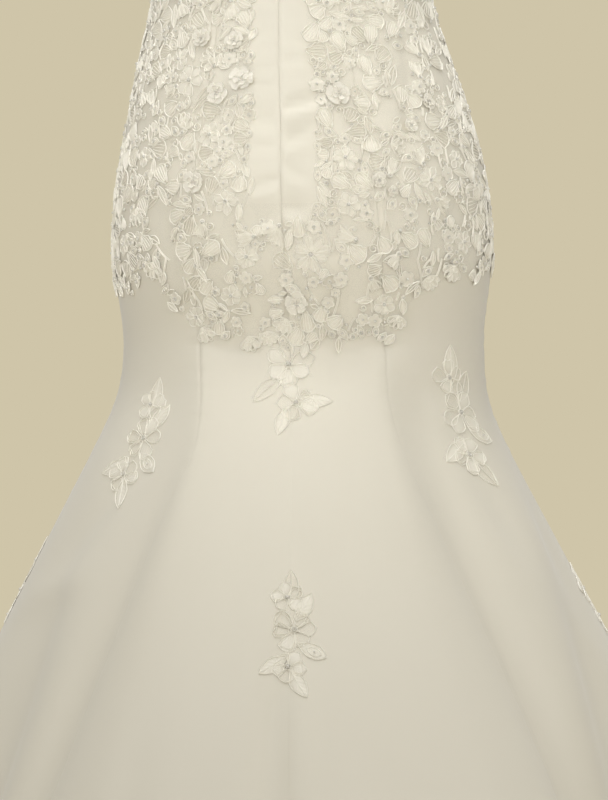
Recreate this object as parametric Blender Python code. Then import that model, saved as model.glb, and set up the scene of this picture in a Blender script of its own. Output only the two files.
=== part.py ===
# A trumpet wedding gown in satin with corded floral lace, hollow as it is when worn.
# Metres, +Z up. The origin is the centre of the waist, where the wearer holds the gown up.
# -Y is the gown's back, which a closed zip runs down, and +X is the wearer's right.
# Angles are degrees round the gown from the centre back, positive towards +X, 180 at the centre front.

import math
import random

import bmesh
import bpy
from mathutils import Matrix, Vector
from mathutils.geometry import delaunay_2d_cdt

for old in list(bpy.data.objects):
    bpy.data.objects.remove(old, do_unlink=True)

# Cloth and lace
CLOTH = 0.0018
SEAM_GAP = 0.0003
LACE = 0.0013
LACE_LIFT = 0.0004
FLOWER_LIFT = 0.0022

# Heights, from the waist
HEM = -1.090
SEAT_BREAK = -0.3555
FLANK_BREAK = -0.392
SIDE_BREAK = -0.402
FRONT_BREAK = -0.420

# How fast the skirt widens below each break, and over what height it starts to
BACK_FLARE = 0.60
SIDE_FLARE = 0.535
FRONT_FLARE = 0.50
BACK_EASE = 0.006
SIDE_EASE = 0.015

# The fitted body, which stays at its last row below the breaks
BODY = (
    ("height", "half_width", "back", "front"),
    (0.300, 0.160, 0.092, 0.108),
    (0.180, 0.154, 0.095, 0.112),
    (0.090, 0.130, 0.084, 0.098),
    (0.000, 0.1195, 0.081, 0.085),
    (-0.045, 0.1250, 0.087, 0.092),
    (-0.135, 0.1490, 0.110, 0.102),
    (-0.225, 0.1680, 0.126, 0.104),
    (-0.270, 0.1705, 0.124, 0.102),
    (-0.3555, 0.1620, 0.106, 0.097),
    (-0.405, 0.1620, 0.106, 0.095),
)

# How the worn gown stands: turned a little at the hips and the skirt, with the hips to one side
STANCE = (
    ("height", "twist", "lean"),
    (0.300, 0.0, 0.0),
    (0.100, 0.0, 0.0),
    (-0.045, -1.2, -0.0010),
    (-0.200, -2.0, 0.0055),
    (-0.3555, 0.0, 0.0060),
    (-0.445, 3.6, 0.0022),
    (-1.090, 3.8, 0.0030),
)

# Where the seams lie: angles of the princess seams of the back on each side, the side and the front ones
SEAMS = (
    ("height", "back_right", "back_left", "side_seam", "front_seam"),
    (0.180, 31.0, 31.0, 90.0, 147.0),
    (0.000, 24.0, 24.0, 90.0, 153.0),
    (-0.220, 29.0, 29.0, 90.0, 147.0),
    (-0.3555, 30.3, 30.0, 90.0, 146.0),
    (-0.430, 31.6, 28.6, 90.0, 146.0),
    (-0.500, 36.0, 32.8, 90.0, 145.0),
    (-0.605, 40.5, 36.6, 90.0, 144.0),
    (-0.7225, 44.5, 39.5, 90.0, 143.0),
    (-1.090, 48.5, 43.5, 90.0, 141.0),
)

# The top edge, the same on both sides: a low back and a sweetheart front
TOP = (
    ("angle", "height"),
    (0, 0.160), (30, 0.170), (60, 0.186), (90, 0.198), (120, 0.232), (147, 0.272), (166, 0.250), (180, 0.222),
)

# The cups, each a soft swell on its princess seam
CUP_ANGLE = 147.0
CUP_SPREAD = 22.0
CUP_HEIGHT = 0.165
CUP_RISE = 0.062
CUP_SWELL = 0.020

# Valleys between the flutes of the skirt, which deepen from their start down to the hem
FOLDS = (
    ("start", "angle", "hem_angle", "hem_depth", "width_before", "width_after"),
    (-0.620, -0.5, -0.8, 0.034, 4.2, 4.6),
    (-0.365, 31.0, 49.0, 0.058, 4.5, 8.5),
    (-0.440, 88.0, 60.0, 0.085, 9.0, 9.5),
    (-0.600, 19.0, 20.0, 0.012, 5.0, 6.0),
    (-0.365, -29.0, -43.0, 0.036, 3.8, 4.2),
    (-0.455, -66.0, -54.5, 0.080, 7.5, 10.0),
    (-0.600, -13.5, -15.0, 0.013, 5.0, 5.5),
    (-0.480, -95.0, -92.0, 0.045, 8.0, 8.0),
    (-0.500, 112.0, 103.0, 0.050, 8.0, 8.0),
    (-0.440, -118.0, -121.0, 0.066, 8.5, 9.5),
    (-0.440, 139.0, 137.0, 0.056, 8.5, 8.5),
    (-0.470, -149.0, -150.0, 0.046, 8.5, 8.0),
    (-0.560, 168.0, 170.0, 0.036, 8.0, 8.0),
)

# The grid that every piece of cloth is laid out on: columns round, rows down
BACK_SEAM_COLUMN = 6
SIDE_SEAM_COLUMN = 14
FRONT_SEAM_COLUMN = 22
FRONT_FOLD_COLUMN = 27
AROUND = 2 * FRONT_FOLD_COLUMN
BODICE_ROWS = 6
STOPS = ((0.0, BODICE_ROWS), (SEAT_BREAK, 9), (-0.445, 3), (HEM, 6))

# The zip
ZIP_END = -0.262
TAPE_HALF_WIDTH = 0.62
TAPE = 0.0011
PULL_HEIGHT = 0.146
PIN_RADIUS = 0.0008
BARREL_RADIUS = 0.0021
PIN_CLEARANCE = 0.0004
PULL_LENGTH = 0.027
PULL_HALF_WIDTH = 0.0042
PULL_THICKNESS = 0.0012
PULL_POINTS = 24


# Every table starts with the names of its columns
def slopes(keys, values):
    # Slopes of a curve through the rows that never overshoots them
    steps = [(values[i + 1] - values[i]) / (keys[i + 1] - keys[i]) for i in range(len(keys) - 1)]
    found = [steps[0]]
    for before, after in zip(steps, steps[1:]):
        level = before * after <= 0
        found.append(0.0 if level else 2 * before * after / (before + after))
    found.append(steps[-1])
    return found


CURVES = {}


def read(table, name, key):
    # A column of a table at any height or angle, on that curve
    mark = (id(table), name)
    if mark not in CURVES:
        keys = [row[0] for row in table[1:]]
        values = [row[table[0].index(name)] for row in table[1:]]
        CURVES[mark] = (keys, values, slopes(keys, values))
    keys, values, slope = CURVES[mark]
    falling = keys[0] > keys[-1]
    key = min(max(key, min(keys)), max(keys))
    i = 0
    while i < len(keys) - 2 and (key < keys[i + 1] if falling else key > keys[i + 1]):
        i += 1
    span = keys[i + 1] - keys[i]
    t = (key - keys[i]) / span
    return ((2 * t ** 3 - 3 * t ** 2 + 1) * values[i] + (t ** 3 - 2 * t ** 2 + t) * span * slope[i]
            + (3 * t ** 2 - 2 * t ** 3) * values[i + 1] + (t ** 3 - t ** 2) * span * slope[i + 1])


def smooth(low, high, value):
    t = min(max((value - low) / (high - low), 0.0), 1.0)
    return t * t * (3 - 2 * t)


def turned(angle):
    return (angle + 180.0) % 360.0 - 180.0


def flare(height, start, rate, ease):
    # Nothing above the break and a straight slope below it, with a short bend between
    drop = (start - height) / ease
    if drop > 30:
        return rate * drop * ease
    return rate * ease * math.log1p(math.exp(drop))


def fold_depth(angle, height):
    depth = 0.0
    for start, first, last, hem_depth, before, after in FOLDS[1:]:
        if height >= start:
            continue
        t = (start - height) / (start - HEM)
        centre = last + (first - last) * (1 - t) ** 3
        away = turned(angle - centre)
        # Before and after are counted away from the centre back
        outward = away if centre >= 0 else -away
        width = after if outward > 0 else before
        depth += hem_depth * t ** 1.25 * math.exp(-(away / width) ** 2)
    return depth


def gown_point(angle, height):
    # A point on the outside of the satin
    side = abs(turned(angle))
    turn = math.radians(angle)
    half_width = read(BODY, "half_width", height) + flare(height, SIDE_BREAK, SIDE_FLARE, SIDE_EASE)
    if side < 90:
        start = SEAT_BREAK + (FLANK_BREAK - SEAT_BREAK) * smooth(27, 44, side)
        depth = read(BODY, "back", height) + flare(height, start, BACK_FLARE, BACK_EASE)
    else:
        depth = read(BODY, "front", height) + flare(height, FRONT_BREAK, FRONT_FLARE, SIDE_EASE)
    across = Vector((half_width * math.sin(turn), -depth * math.cos(turn), 0))
    cup = math.exp(-((side - CUP_ANGLE) / CUP_SPREAD) ** 2 - ((height - CUP_HEIGHT) / CUP_RISE) ** 2)
    out = CUP_SWELL * cup - fold_depth(angle, height)
    across += across.normalized() * out
    stood = Matrix.Rotation(math.radians(read(STANCE, "twist", height)), 3, "Z") @ across
    return stood + Vector((read(STANCE, "lean", height), 0, height))


def gown_normal(angle, height):
    round_it = gown_point(angle + 0.4, height) - gown_point(angle - 0.4, height)
    down_it = gown_point(angle, height - 0.002) - gown_point(angle, height + 0.002)
    return down_it.cross(round_it).normalized()


def seam_angles(height, left):
    names = ("back_left" if left else "back_right", "side_seam", "front_seam")
    return [0.0] + [read(SEAMS, name, height) for name in names] + [180.0]


SEAM_AT = (0, BACK_SEAM_COLUMN, SIDE_SEAM_COLUMN, FRONT_SEAM_COLUMN, FRONT_FOLD_COLUMN)


def angle_of(column, height, left=False):
    # From the centre back round either side, and on past the centre front
    if column < 0:
        return -angle_of(-column, height, True)
    if column > FRONT_FOLD_COLUMN:
        return 360.0 - angle_of(AROUND - column, height, True)
    angles = seam_angles(height, left)
    for i in range(4):
        if column <= SEAM_AT[i + 1]:
            t = (column - SEAM_AT[i]) / (SEAM_AT[i + 1] - SEAM_AT[i])
            return angles[i] + t * (angles[i + 1] - angles[i])
    return 180.0


def column_of(angle, height, left=False):
    # From -180 to 360, the other way round
    if angle < 0:
        return -column_of(-angle, height, True)
    if angle > 180:
        return AROUND - column_of(360.0 - angle, height, True)
    angles = seam_angles(height, left)
    for i in range(4):
        if angle <= angles[i + 1]:
            t = (angle - angles[i]) / (angles[i + 1] - angles[i])
            return SEAM_AT[i] + t * (SEAM_AT[i + 1] - SEAM_AT[i])
    return float(FRONT_FOLD_COLUMN)


def row_heights():
    heights = []
    for (above, _), (below, count) in zip(STOPS, STOPS[1:]):
        heights += [above + (below - above) * k / count for k in range(count)]
    return heights + [HEM]


BELOW = row_heights()
LAST_ROW = BODICE_ROWS + len(BELOW) - 1


def top_of(angle):
    return read(TOP, "height", abs(turned(angle)))


def height_of(row, angle):
    if row <= BODICE_ROWS:
        return top_of(angle) * (1 - row / BODICE_ROWS)
    i = min(int(row - BODICE_ROWS), len(BELOW) - 2)
    return BELOW[i] + (BELOW[i + 1] - BELOW[i]) * (row - BODICE_ROWS - i)


def row_of(angle, height):
    if height >= 0:
        return BODICE_ROWS * (1 - height / top_of(angle))
    i = 0
    while i < len(BELOW) - 2 and height < BELOW[i + 1]:
        i += 1
    return BODICE_ROWS + i + (height - BELOW[i]) / (BELOW[i + 1] - BELOW[i])


KNOTS = {}


def knot(column, row):
    # Where a column crosses a row: its point on the satin and the way out from it
    key = ((column + FRONT_FOLD_COLUMN) % AROUND - FRONT_FOLD_COLUMN, row)
    if key not in KNOTS:
        angle = angle_of(key[0], height_of(row, 90.0))
        height = height_of(row, angle)
        KNOTS[key] = (gown_point(angle, height), gown_normal(angle, height))
    return KNOTS[key]


def laid(column, row, out):
    # A point anywhere on the flat facets between the knots, moved out by the same measure
    c = math.floor(column)
    r = min(math.floor(row), LAST_ROW - 1)
    u = column - c
    v = row - r
    if u >= v:
        corners = ((c, r, 1 - u), (c + 1, r, u - v), (c + 1, r + 1, v))
    else:
        corners = ((c, r, 1 - v), (c + 1, r + 1, u), (c, r + 1, v - u))
    place = Vector((0, 0, 0))
    for cc, rr, share in corners:
        if share > 1e-9:
            point, normal = knot(cc, rr)
            place += share * (point + out * normal)
    return place


def material(name, colour, roughness, metallic=0.0):
    made = bpy.data.materials.new(name)
    made.use_nodes = True
    shader = made.node_tree.nodes["Principled BSDF"]
    shader.inputs["Base Color"].default_value = (*colour, 1.0)
    shader.inputs["Roughness"].default_value = roughness
    shader.inputs["Metallic"].default_value = metallic
    return made


SATIN = (0.80, 0.76, 0.64)
CORDED = (0.84, 0.81, 0.71)
RIBBON = (0.78, 0.74, 0.63)
ENAMEL = (0.80, 0.77, 0.66)

gown = bpy.data.collections.new("wedding_gown")
bpy.context.scene.collection.children.link(gown)


def add(name, mesh, colour, roughness, metallic=0.0):
    made = bpy.data.objects.new(name, mesh)
    mesh.materials.clear()
    mesh.materials.append(material(name, colour, roughness, metallic))
    gown.objects.link(made)
    return made


def shell(name, outer, inner, faces, colour, roughness):
    # A closed wall from an outer and an inner sheet of the same triangles
    count = len(outer)
    edges = {}
    for face in faces:
        for a, b in zip(face, face[1:] + face[:1]):
            edges[(a, b)] = edges.get((a, b), 0) + 1
    rim = [(a, b) for (a, b) in edges if (b, a) not in edges]
    mesh = bpy.data.meshes.new(name)
    walls = [(b, a, a + count) for a, b in rim] + [(b, a + count, b + count) for a, b in rim]
    under = [tuple(count + i for i in reversed(face)) for face in faces]
    mesh.from_pydata(outer + inner, [], [tuple(face) for face in faces] + under + walls)
    mesh.shade_smooth()
    mesh.set_sharp_from_angle(angle=math.radians(50))
    return add(name, mesh, colour, roughness)


def panel(name, first, last):
    # One gore from the top edge to the hem, half a seam gap in from each of its seams
    outer = []
    inner = []
    wide = last - first + 1
    for row in range(LAST_ROW + 1):
        for column in range(first, last + 1):
            point, normal = knot(column, row)
            point = point.copy()
            if column in (first, last):
                inward = knot(column + (1 if column == first else -1), row)[0] - point
                point += inward.normalized() * SEAM_GAP / 2
            outer.append(point)
            inner.append(point - CLOTH * normal)
    faces = []
    for row in range(LAST_ROW):
        for k in range(wide - 1):
            a = row * wide + k
            faces.append([a, a + wide + 1, a + 1])
            faces.append([a, a + wide, a + wide + 1])
    return shell(name, outer, inner, faces, SATIN, 0.42)


def inside(point, outline):
    hit = False
    x, y = point
    for (x0, y0), (x1, y1) in zip(outline, outline[1:] + outline[:1]):
        if (y0 > y) != (y1 > y) and x < x0 + (y - y0) * (x1 - x0) / (y1 - y0):
            hit = not hit
    return hit


# Sizes of a grid cell on the hips, to lay outlines out in true shape
CELL_WIDTH = 0.0185
CELL_HEIGHT = 0.0395


def cut_up(points, edges):
    # Triangles over a flat layout that keep all of its lines
    flat = [Vector((c * CELL_WIDTH, r * CELL_HEIGHT)) for c, r in points]
    verts, _, faces, _, _, _ = delaunay_2d_cdt(flat, edges, [], 0, 1e-6)
    return [(v.x / CELL_WIDTH, v.y / CELL_HEIGHT) for v in verts], faces


def middle(places, face):
    return [sum(places[i][k] for i in face) / len(face) for k in (0, 1)]


def joined_edge(shapes):
    # The outer line of overlapping outlines, without the lines inside it
    points = []
    edges = []
    for outline in shapes:
        start = len(points)
        points += outline
        edges += [(start + i, start + (i + 1) % len(outline)) for i in range(len(outline))]
    places, faces = cut_up(points, edges)
    sides = set()
    for face in faces:
        if any(inside(middle(places, face), outline) for outline in shapes):
            sides.update(zip(face, face[1:] + face[:1]))
    rim = [(a, b) for a, b in sides if (b, a) not in sides]
    used = sorted({i for edge in rim for i in edge})
    index = {old: new for new, old in enumerate(used)}
    return [places[i] for i in used], sorted((index[a], index[b]) for a, b in rim)


def appliance(name, shapes, gaps, hearts, low, high, colour, roughness):
    # A flat piece that lies on the satin: the shapes joined, less the gaps, cut along the satin's facets
    points, edges = joined_edge(shapes)
    for outline in gaps:
        start = len(points)
        points += outline
        edges += [(start + i, start + (i + 1) % len(outline)) for i in range(len(outline))]
    left = math.floor(min(p[0] for p in points)) - 1
    right = math.ceil(max(p[0] for p in points)) + 1
    top = max(math.floor(min(p[1] for p in points)) - 1, 0)
    base = min(math.ceil(max(p[1] for p in points)) + 1, LAST_ROW)

    def line(start, end):
        edges.append((len(points), len(points) + 1))
        points.extend((start, end))

    for column in range(left, right + 1):
        line((column, top), (column, base))
    for row in range(top, base + 1):
        line((left, row), (right, row))
    for column in range(left - (base - top), right + 1):
        down = max(left - column, 0)
        end = min(base - top, right - column)
        if end > down:
            line((column + down, top + down), (column + end, top + end))
    points += hearts
    places, faces = cut_up(points, edges)
    kept = []
    for face in faces:
        centre = middle(places, face)
        if not any(inside(centre, outline) for outline in shapes):
            continue
        if any(inside(centre, outline) for outline in gaps):
            continue
        # Rows run down, so the order that turns left in the layout turns right on the gown
        (ax, ay), (bx, by), (cx, cy) = (places[i] for i in face)
        area = (bx - ax) * (cy - ay) - (by - ay) * (cx - ax)
        kept.append(list(face) if area < 0 else list(reversed(face)))
    used = sorted({i for face in kept for i in face})
    index = {old: new for new, old in enumerate(used)}
    faces = [[index[i] for i in face] for face in kept]
    outer = []
    inner = []
    for i in used:
        column, row = places[i]
        raised = any(abs(column - c) < 1e-3 and abs(row - r) < 1e-3 for c, r in hearts)
        outer.append(laid(column, row, high + (FLOWER_LIFT if raised else 0.0)))
        inner.append(laid(column, row, low))
    return shell(name, outer, inner, faces, colour, roughness)


def arc_per_degree(angle, height):
    return (gown_point(angle + 0.5, height) - gown_point(angle - 0.5, height)).length


def spot(angle, height, right=0.0, up=0.0):
    # Grid place of a point some way to the right of and above another, measured on the satin
    slant = (gown_point(angle, height + 0.005) - gown_point(angle, height - 0.005)).length / 0.01
    h = height + up / slant
    a = angle + right / arc_per_degree(angle, height)
    return (column_of(a, h), row_of(a, h))


def petals(angle, height, right, up, radius, count, turn, hollow=0.62):
    # A flower's outline: petal tips and the notches between them
    ring = []
    for i in range(2 * count):
        reach = radius if i % 2 == 0 else radius * hollow
        way = math.radians(turn + 180.0 * i / count)
        ring.append(spot(angle, height, right + reach * math.cos(way), up + reach * math.sin(way)))
    return ring


def leaf(angle, height, right, up, length, width, turn):
    # A leaf's outline from its stalk to its tip
    ring = []
    for along, aside in ((0, 0), (0.5, 0.5), (1, 0), (0.5, -0.5)):
        way = math.radians(turn)
        x = along * length
        y = aside * width
        ring.append(spot(angle, height, right + x * math.cos(way) - y * math.sin(way),
                         up + x * math.sin(way) + y * math.cos(way)))
    return ring


# The lower edge of the lace round the gown, above its petals
BACK_EDGE = (
    ("angle", "height"),
    (-90, -0.300), (-72, -0.306), (-46, -0.290), (-37, -0.315), (-31, -0.338), (-17, -0.344), (0, -0.352),
    (15, -0.346), (34, -0.342), (41, -0.306), (53, -0.292), (77, -0.292), (90, -0.288),
)
FRONT_EDGE = (
    ("angle", "height"),
    (90, -0.288), (112, -0.300), (135, -0.318), (158, -0.330), (180, -0.346), (202, -0.330), (225, -0.318),
    (248, -0.300), (270, -0.300),
)

# The bare strip either side of the zip, and the height at which the lace closes over the seam
STRIP_RIGHT = 11.5
STRIP_LEFT = -9.5
STRIP_END = -0.226
TOP_MARGIN = 0.22
SIDE_MARGIN = 0.010
EDGE_SCALLOP = 0.24
STRIP_SCALLOP = 0.34


def lower_edge(edge, first, last):
    # Along the lower edge from column to column, in and out like petals
    found = []
    for column in range(first, last + 1):
        angle = angle_of(column, -0.32)
        row = row_of(angle, read(edge, "height", angle))
        row += EDGE_SCALLOP * (math.sin(column * 2.4) if first < column < last else 0.0)
        found.append((float(column), row))
    return found


def strip_edge(limit, top, base):
    # Up the bare strip beside the zip from row to row
    found = []
    for row in [base] + list(range(math.floor(base), 0, -1)) + [top]:
        height = height_of(row, limit)
        found.append((column_of(limit, height) + STRIP_SCALLOP * math.sin(row * 2.2), row))
    return found


def ring_at(column, row, wide, tall, slant):
    # Six corners round a knot of the grid, one on each of the lines that meet there
    return [(column + wide, row), (column + slant, row + slant), (column, row + tall),
            (column - wide, row), (column - slant, row - slant), (column, row - tall)]


GAPS_EACH = 58
BLOOM_WIDE = 0.80
BLOOM_TALL = 0.40
GUARD_WIDE = 0.36
GUARD_TALL = 0.28


def blooms(outline, first, last):
    # The large flowers sit on every fourth knot of the odd rows, staggered, and rise in the middle
    found = []
    for row in range(1, LAST_ROW, 2):
        for column in range(first + 1, last):
            guard = ring_at(column, row, BLOOM_WIDE, BLOOM_TALL, BLOOM_TALL)
            if (column - row) % 4 == 0 and all(inside(corner, outline) for corner in guard):
                found.append((float(column), float(row)))
    return found


def lace_gaps(seed, outline, first, last, total):
    # The largest gaps between the flowers, alternate from row to row and uneven in size
    chance = random.Random(seed)
    taken = blooms(outline, first, last)
    found = []
    for row in range(1, LAST_ROW):
        for column in range(first + 1, last):
            wide = chance.uniform(0.30, 0.45)
            tall = chance.uniform(0.18, 0.30)
            slant = chance.uniform(0.12, 0.24)
            if (column + row) % 2 or (column, row) in taken:
                continue
            gap = ring_at(column, row, wide, tall, slant)
            guard = ring_at(column, row, wide + GUARD_WIDE, tall + GUARD_TALL, slant + GUARD_TALL)
            if all(inside(corner, outline) for corner in guard):
                found.append((wide * tall, gap))
    found.sort(key=lambda item: -item[0])
    return [gap for _, gap in found[:total]]


def back_lace():
    side = SIDE_SEAM_COLUMN - SIDE_MARGIN
    strip_row = row_of(0.0, STRIP_END)
    bottom = lower_edge(BACK_EDGE, -SIDE_SEAM_COLUMN, SIDE_SEAM_COLUMN)
    bottom[0] = (-side, bottom[0][1])
    bottom[-1] = (side, bottom[-1][1])
    right = strip_edge(STRIP_RIGHT, TOP_MARGIN, strip_row)
    left = strip_edge(STRIP_LEFT, TOP_MARGIN, strip_row)
    outline = bottom + [(side, TOP_MARGIN)] + list(reversed(right)) + left + [(-side, TOP_MARGIN)]
    gaps = lace_gaps(11, outline, -SIDE_SEAM_COLUMN, SIDE_SEAM_COLUMN, GAPS_EACH)
    hearts = blooms(outline, -SIDE_SEAM_COLUMN, SIDE_SEAM_COLUMN)
    drop = [
        petals(-0.5, -0.366, 0.000, 0.0, 0.025, 6, 30),
        petals(-0.5, -0.398, 0.006, 0.0, 0.020, 5, 40),
        leaf(-0.5, -0.378, -0.006, 0.0, 0.034, 0.014, 215),
        leaf(-0.5, -0.394, 0.010, 0.0, 0.028, 0.012, 345),
        leaf(-0.5, -0.402, -0.001, 0.0, 0.028, 0.012, 245),
    ]
    return appliance("lace_back", [outline] + drop, gaps, hearts, LACE_LIFT, LACE_LIFT + LACE, CORDED, 0.6)


def front_lace():
    first = SIDE_SEAM_COLUMN
    last = AROUND - SIDE_SEAM_COLUMN
    bottom = lower_edge(FRONT_EDGE, first, last)
    bottom[0] = (first + SIDE_MARGIN, bottom[0][1])
    bottom[-1] = (last - SIDE_MARGIN, bottom[-1][1])
    outline = bottom + [(last - SIDE_MARGIN, TOP_MARGIN), (first + SIDE_MARGIN, TOP_MARGIN)]
    gaps = lace_gaps(23, outline, first, last, GAPS_EACH)
    hearts = blooms(outline, first, last)
    return appliance("lace_front", [outline], gaps, hearts, LACE_LIFT, LACE_LIFT + LACE, CORDED, 0.6)


# Loose motifs on the skirt: angle and height of the middle, size and lean
MOTIFS = (
    ("name", "angle", "height", "length", "lean"),
    ("motif_back_centre", 0.2, -0.585, 0.106, 4.0),
    ("motif_back_right", 56.5, -0.417, 0.120, 3.0),
    ("motif_back_left", -50.0, -0.435, 0.114, -4.0),
    ("motif_side_right", 92.0, -0.606, 0.106, 6.0),
    ("motif_side_left", -88.0, -0.578, 0.106, -6.0),
    ("motif_front_right", 128.0, -0.430, 0.112, -6.0),
    ("motif_front_left", -128.0, -0.440, 0.112, 6.0),
    ("motif_front_centre", 180.0, -0.540, 0.108, -3.0),
)

# One motif, in parts of its length: flowers and leaves strung along a stalk
MOTIF_FLOWERS = (("right", "up", "radius", "petals", "turn"),
                 (-0.01, 0.32, 0.145, 5, 20), (0.03, 0.04, 0.195, 6, 0), (-0.04, -0.27, 0.160, 5, 50))
MOTIF_LEAVES = (("right", "up", "length", "width", "turn"),
                (0.00, 0.26, 0.30, 0.13, 78), (0.05, 0.12, 0.26, 0.13, 52), (0.05, -0.08, 0.25, 0.12, -38),
                (-0.04, -0.18, 0.26, 0.12, 205), (-0.02, -0.30, 0.27, 0.12, -72),
                (-0.02, -0.34, 0.72, 0.06, 88))


def motif(name, angle, height, length, lean):
    swing = math.radians(lean)

    def leant(x, y):
        return (length * (x * math.cos(swing) - y * math.sin(swing)),
                length * (x * math.sin(swing) + y * math.cos(swing)))

    shapes = []
    for x, y, radius, count, turn in MOTIF_FLOWERS[1:]:
        right, up = leant(x, y)
        shapes.append(petals(angle, height, right, up, radius * length, count, turn + lean))
    for x, y, long, wide, turn in MOTIF_LEAVES[1:]:
        right, up = leant(x, y)
        shapes.append(leaf(angle, height, right, up, long * length, wide * length, turn + lean))
    heart = spot(angle, height, *leant(*MOTIF_FLOWERS[2][:2]))
    return appliance(name, shapes, [], [heart], LACE_LIFT, LACE_LIFT + LACE, CORDED, 0.6)


def zip_tape():
    # The tape behind the seam, from just under the top edge to the end of the zip
    end = row_of(0.0, ZIP_END)
    half = TAPE_HALF_WIDTH
    outline = [(-half, 0.1), (-half, end), (half, end), (half, 0.1)]
    high = -(CLOTH + SEAM_GAP)
    return appliance("zip_tape", [outline], [], [], high - TAPE, high, RIBBON, 0.7)


def box(name, size, place):
    bm = bmesh.new()
    bmesh.ops.create_cube(bm, size=1.0)
    bmesh.ops.scale(bm, vec=Vector(size), verts=bm.verts)
    bmesh.ops.translate(bm, vec=Vector(place), verts=bm.verts)
    mesh = bpy.data.meshes.new(name)
    bm.to_mesh(mesh)
    bm.free()
    return mesh


def rod(name, radius, length, place, sides=20):
    # A round bar along X
    bm = bmesh.new()
    bmesh.ops.create_cone(bm, cap_ends=True, segments=sides, radius1=radius, radius2=radius, depth=length)
    bmesh.ops.rotate(bm, matrix=Matrix.Rotation(math.radians(90), 3, "Y"), verts=bm.verts)
    bmesh.ops.translate(bm, vec=Vector(place), verts=bm.verts)
    mesh = bpy.data.meshes.new(name)
    bm.to_mesh(mesh)
    bm.free()
    return mesh


tools = bpy.data.collections.new("cutters")
bpy.context.scene.collection.children.link(tools)


def helper(name, mesh):
    made = bpy.data.objects.new(name, mesh)
    made.hide_render = True
    made.display_type = "WIRE"
    tools.objects.link(made)
    return made


def joined(target, other, how):
    change = target.modifiers.new(how.lower(), "BOOLEAN")
    change.operation = how
    change.object = other
    change.solver = "EXACT"


def pull_outline():
    # A teardrop from the barrel down, as a closed outline in x and z
    points = []
    for i in range(PULL_POINTS):
        t = i / PULL_POINTS * 2 * math.pi
        down = 0.5 - 0.5 * math.cos(t)
        x = PULL_HALF_WIDTH * math.sin(t) * (0.50 + 0.50 * smooth(0.05, 0.85, down))
        points.append((x, -PULL_LENGTH * down))
    return points


def plate(name, outline, thickness, place):
    # A flat outline in x and z, thickened along Y
    curve = bpy.data.curves.new(name, "CURVE")
    curve.dimensions = "2D"
    curve.fill_mode = "BOTH"
    curve.extrude = thickness / 2
    spline = curve.splines.new("POLY")
    spline.points.add(len(outline) - 1)
    for point, (x, z) in zip(spline.points, outline):
        point.co = (x, z, 0, 1)
    spline.use_cyclic_u = True
    made = bpy.data.objects.new(name + "_curve", curve)
    bpy.context.scene.collection.objects.link(made)
    made.rotation_euler = (math.radians(90), 0, 0)
    made.location = place
    bpy.context.view_layer.update()
    mesh = bpy.data.meshes.new_from_object(made.evaluated_get(bpy.context.evaluated_depsgraph_get()))
    mesh.transform(made.matrix_world)
    bm = bmesh.new()
    bm.from_mesh(mesh)
    bmesh.ops.remove_doubles(bm, verts=bm.verts, dist=1e-6)
    bmesh.ops.recalc_face_normals(bm, faces=bm.faces)
    bm.to_mesh(mesh)
    bm.free()
    bpy.data.objects.remove(made, do_unlink=True)
    return mesh


BASE_THICKNESS = 0.0012
BASE_LENGTH = 0.011
CHEEK = 0.0010
CHEEK_HEIGHT = 0.0044
CHEEK_ROOT = 0.0004
BARREL_LENGTH = 0.0040
SIDE_PLAY = 0.0003


def zip_head():
    # The slider at the top of the seam and the pull that swings on its pin
    half = BASE_LENGTH / 2
    face = min(gown_point(0.0, PULL_HEIGHT + h).y for h in (-half, 0.0, half)) - SEAM_GAP
    pin_y = face - BASE_THICKNESS - BARREL_RADIUS - PIN_CLEARANCE
    inner = BARREL_LENGTH / 2 + SIDE_PLAY
    wide = 2 * (inner + CHEEK)
    slider = add("zip_slider", box("base", (wide, BASE_THICKNESS, BASE_LENGTH),
                                   (0, face - BASE_THICKNESS / 2, PULL_HEIGHT)), ENAMEL, 0.35, 0.3)
    reach = face - CHEEK_ROOT - pin_y + PIN_RADIUS * 2
    for side in (-1, 1):
        middle_x = side * (inner + CHEEK / 2)
        cheek = helper("cheek", box("cheek", (CHEEK, reach, CHEEK_HEIGHT),
                                    (middle_x, face - CHEEK_ROOT - reach / 2, PULL_HEIGHT)))
        joined(slider, cheek, "UNION")
    pin = helper("pin", rod("pin", PIN_RADIUS, wide - CHEEK, (0, pin_y, PULL_HEIGHT)))
    joined(slider, pin, "UNION")
    # The pull's own origin is on the pin's axis
    pull = add("zip_pull", rod("barrel", BARREL_RADIUS, BARREL_LENGTH, (0, 0, 0), 24), ENAMEL, 0.35, 0.3)
    pull.location = (0, pin_y, PULL_HEIGHT)
    blade = helper("blade", plate("blade", pull_outline(), PULL_THICKNESS, (0, pin_y, PULL_HEIGHT)))
    joined(pull, blade, "UNION")
    bore = helper("bore", rod("bore", PIN_RADIUS + PIN_CLEARANCE, BARREL_LENGTH * 2,
                              (0, pin_y, PULL_HEIGHT), 24))
    joined(pull, bore, "DIFFERENCE")


def build():
    panel("centre_back_right", 0, BACK_SEAM_COLUMN)
    panel("centre_back_left", -BACK_SEAM_COLUMN, 0)
    panel("side_back_right", BACK_SEAM_COLUMN, SIDE_SEAM_COLUMN)
    panel("side_back_left", -SIDE_SEAM_COLUMN, -BACK_SEAM_COLUMN)
    panel("side_front_right", SIDE_SEAM_COLUMN, FRONT_SEAM_COLUMN)
    panel("side_front_left", -FRONT_SEAM_COLUMN, -SIDE_SEAM_COLUMN)
    panel("centre_front", FRONT_SEAM_COLUMN, AROUND - FRONT_SEAM_COLUMN)
    back_lace()
    front_lace()
    for row in MOTIFS[1:]:
        motif(*row)
    zip_tape()
    zip_head()


build()
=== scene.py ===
import math
import random

import bpy
import numpy as np
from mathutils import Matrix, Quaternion, Vector
from mathutils.geometry import delaunay_2d_cdt


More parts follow.
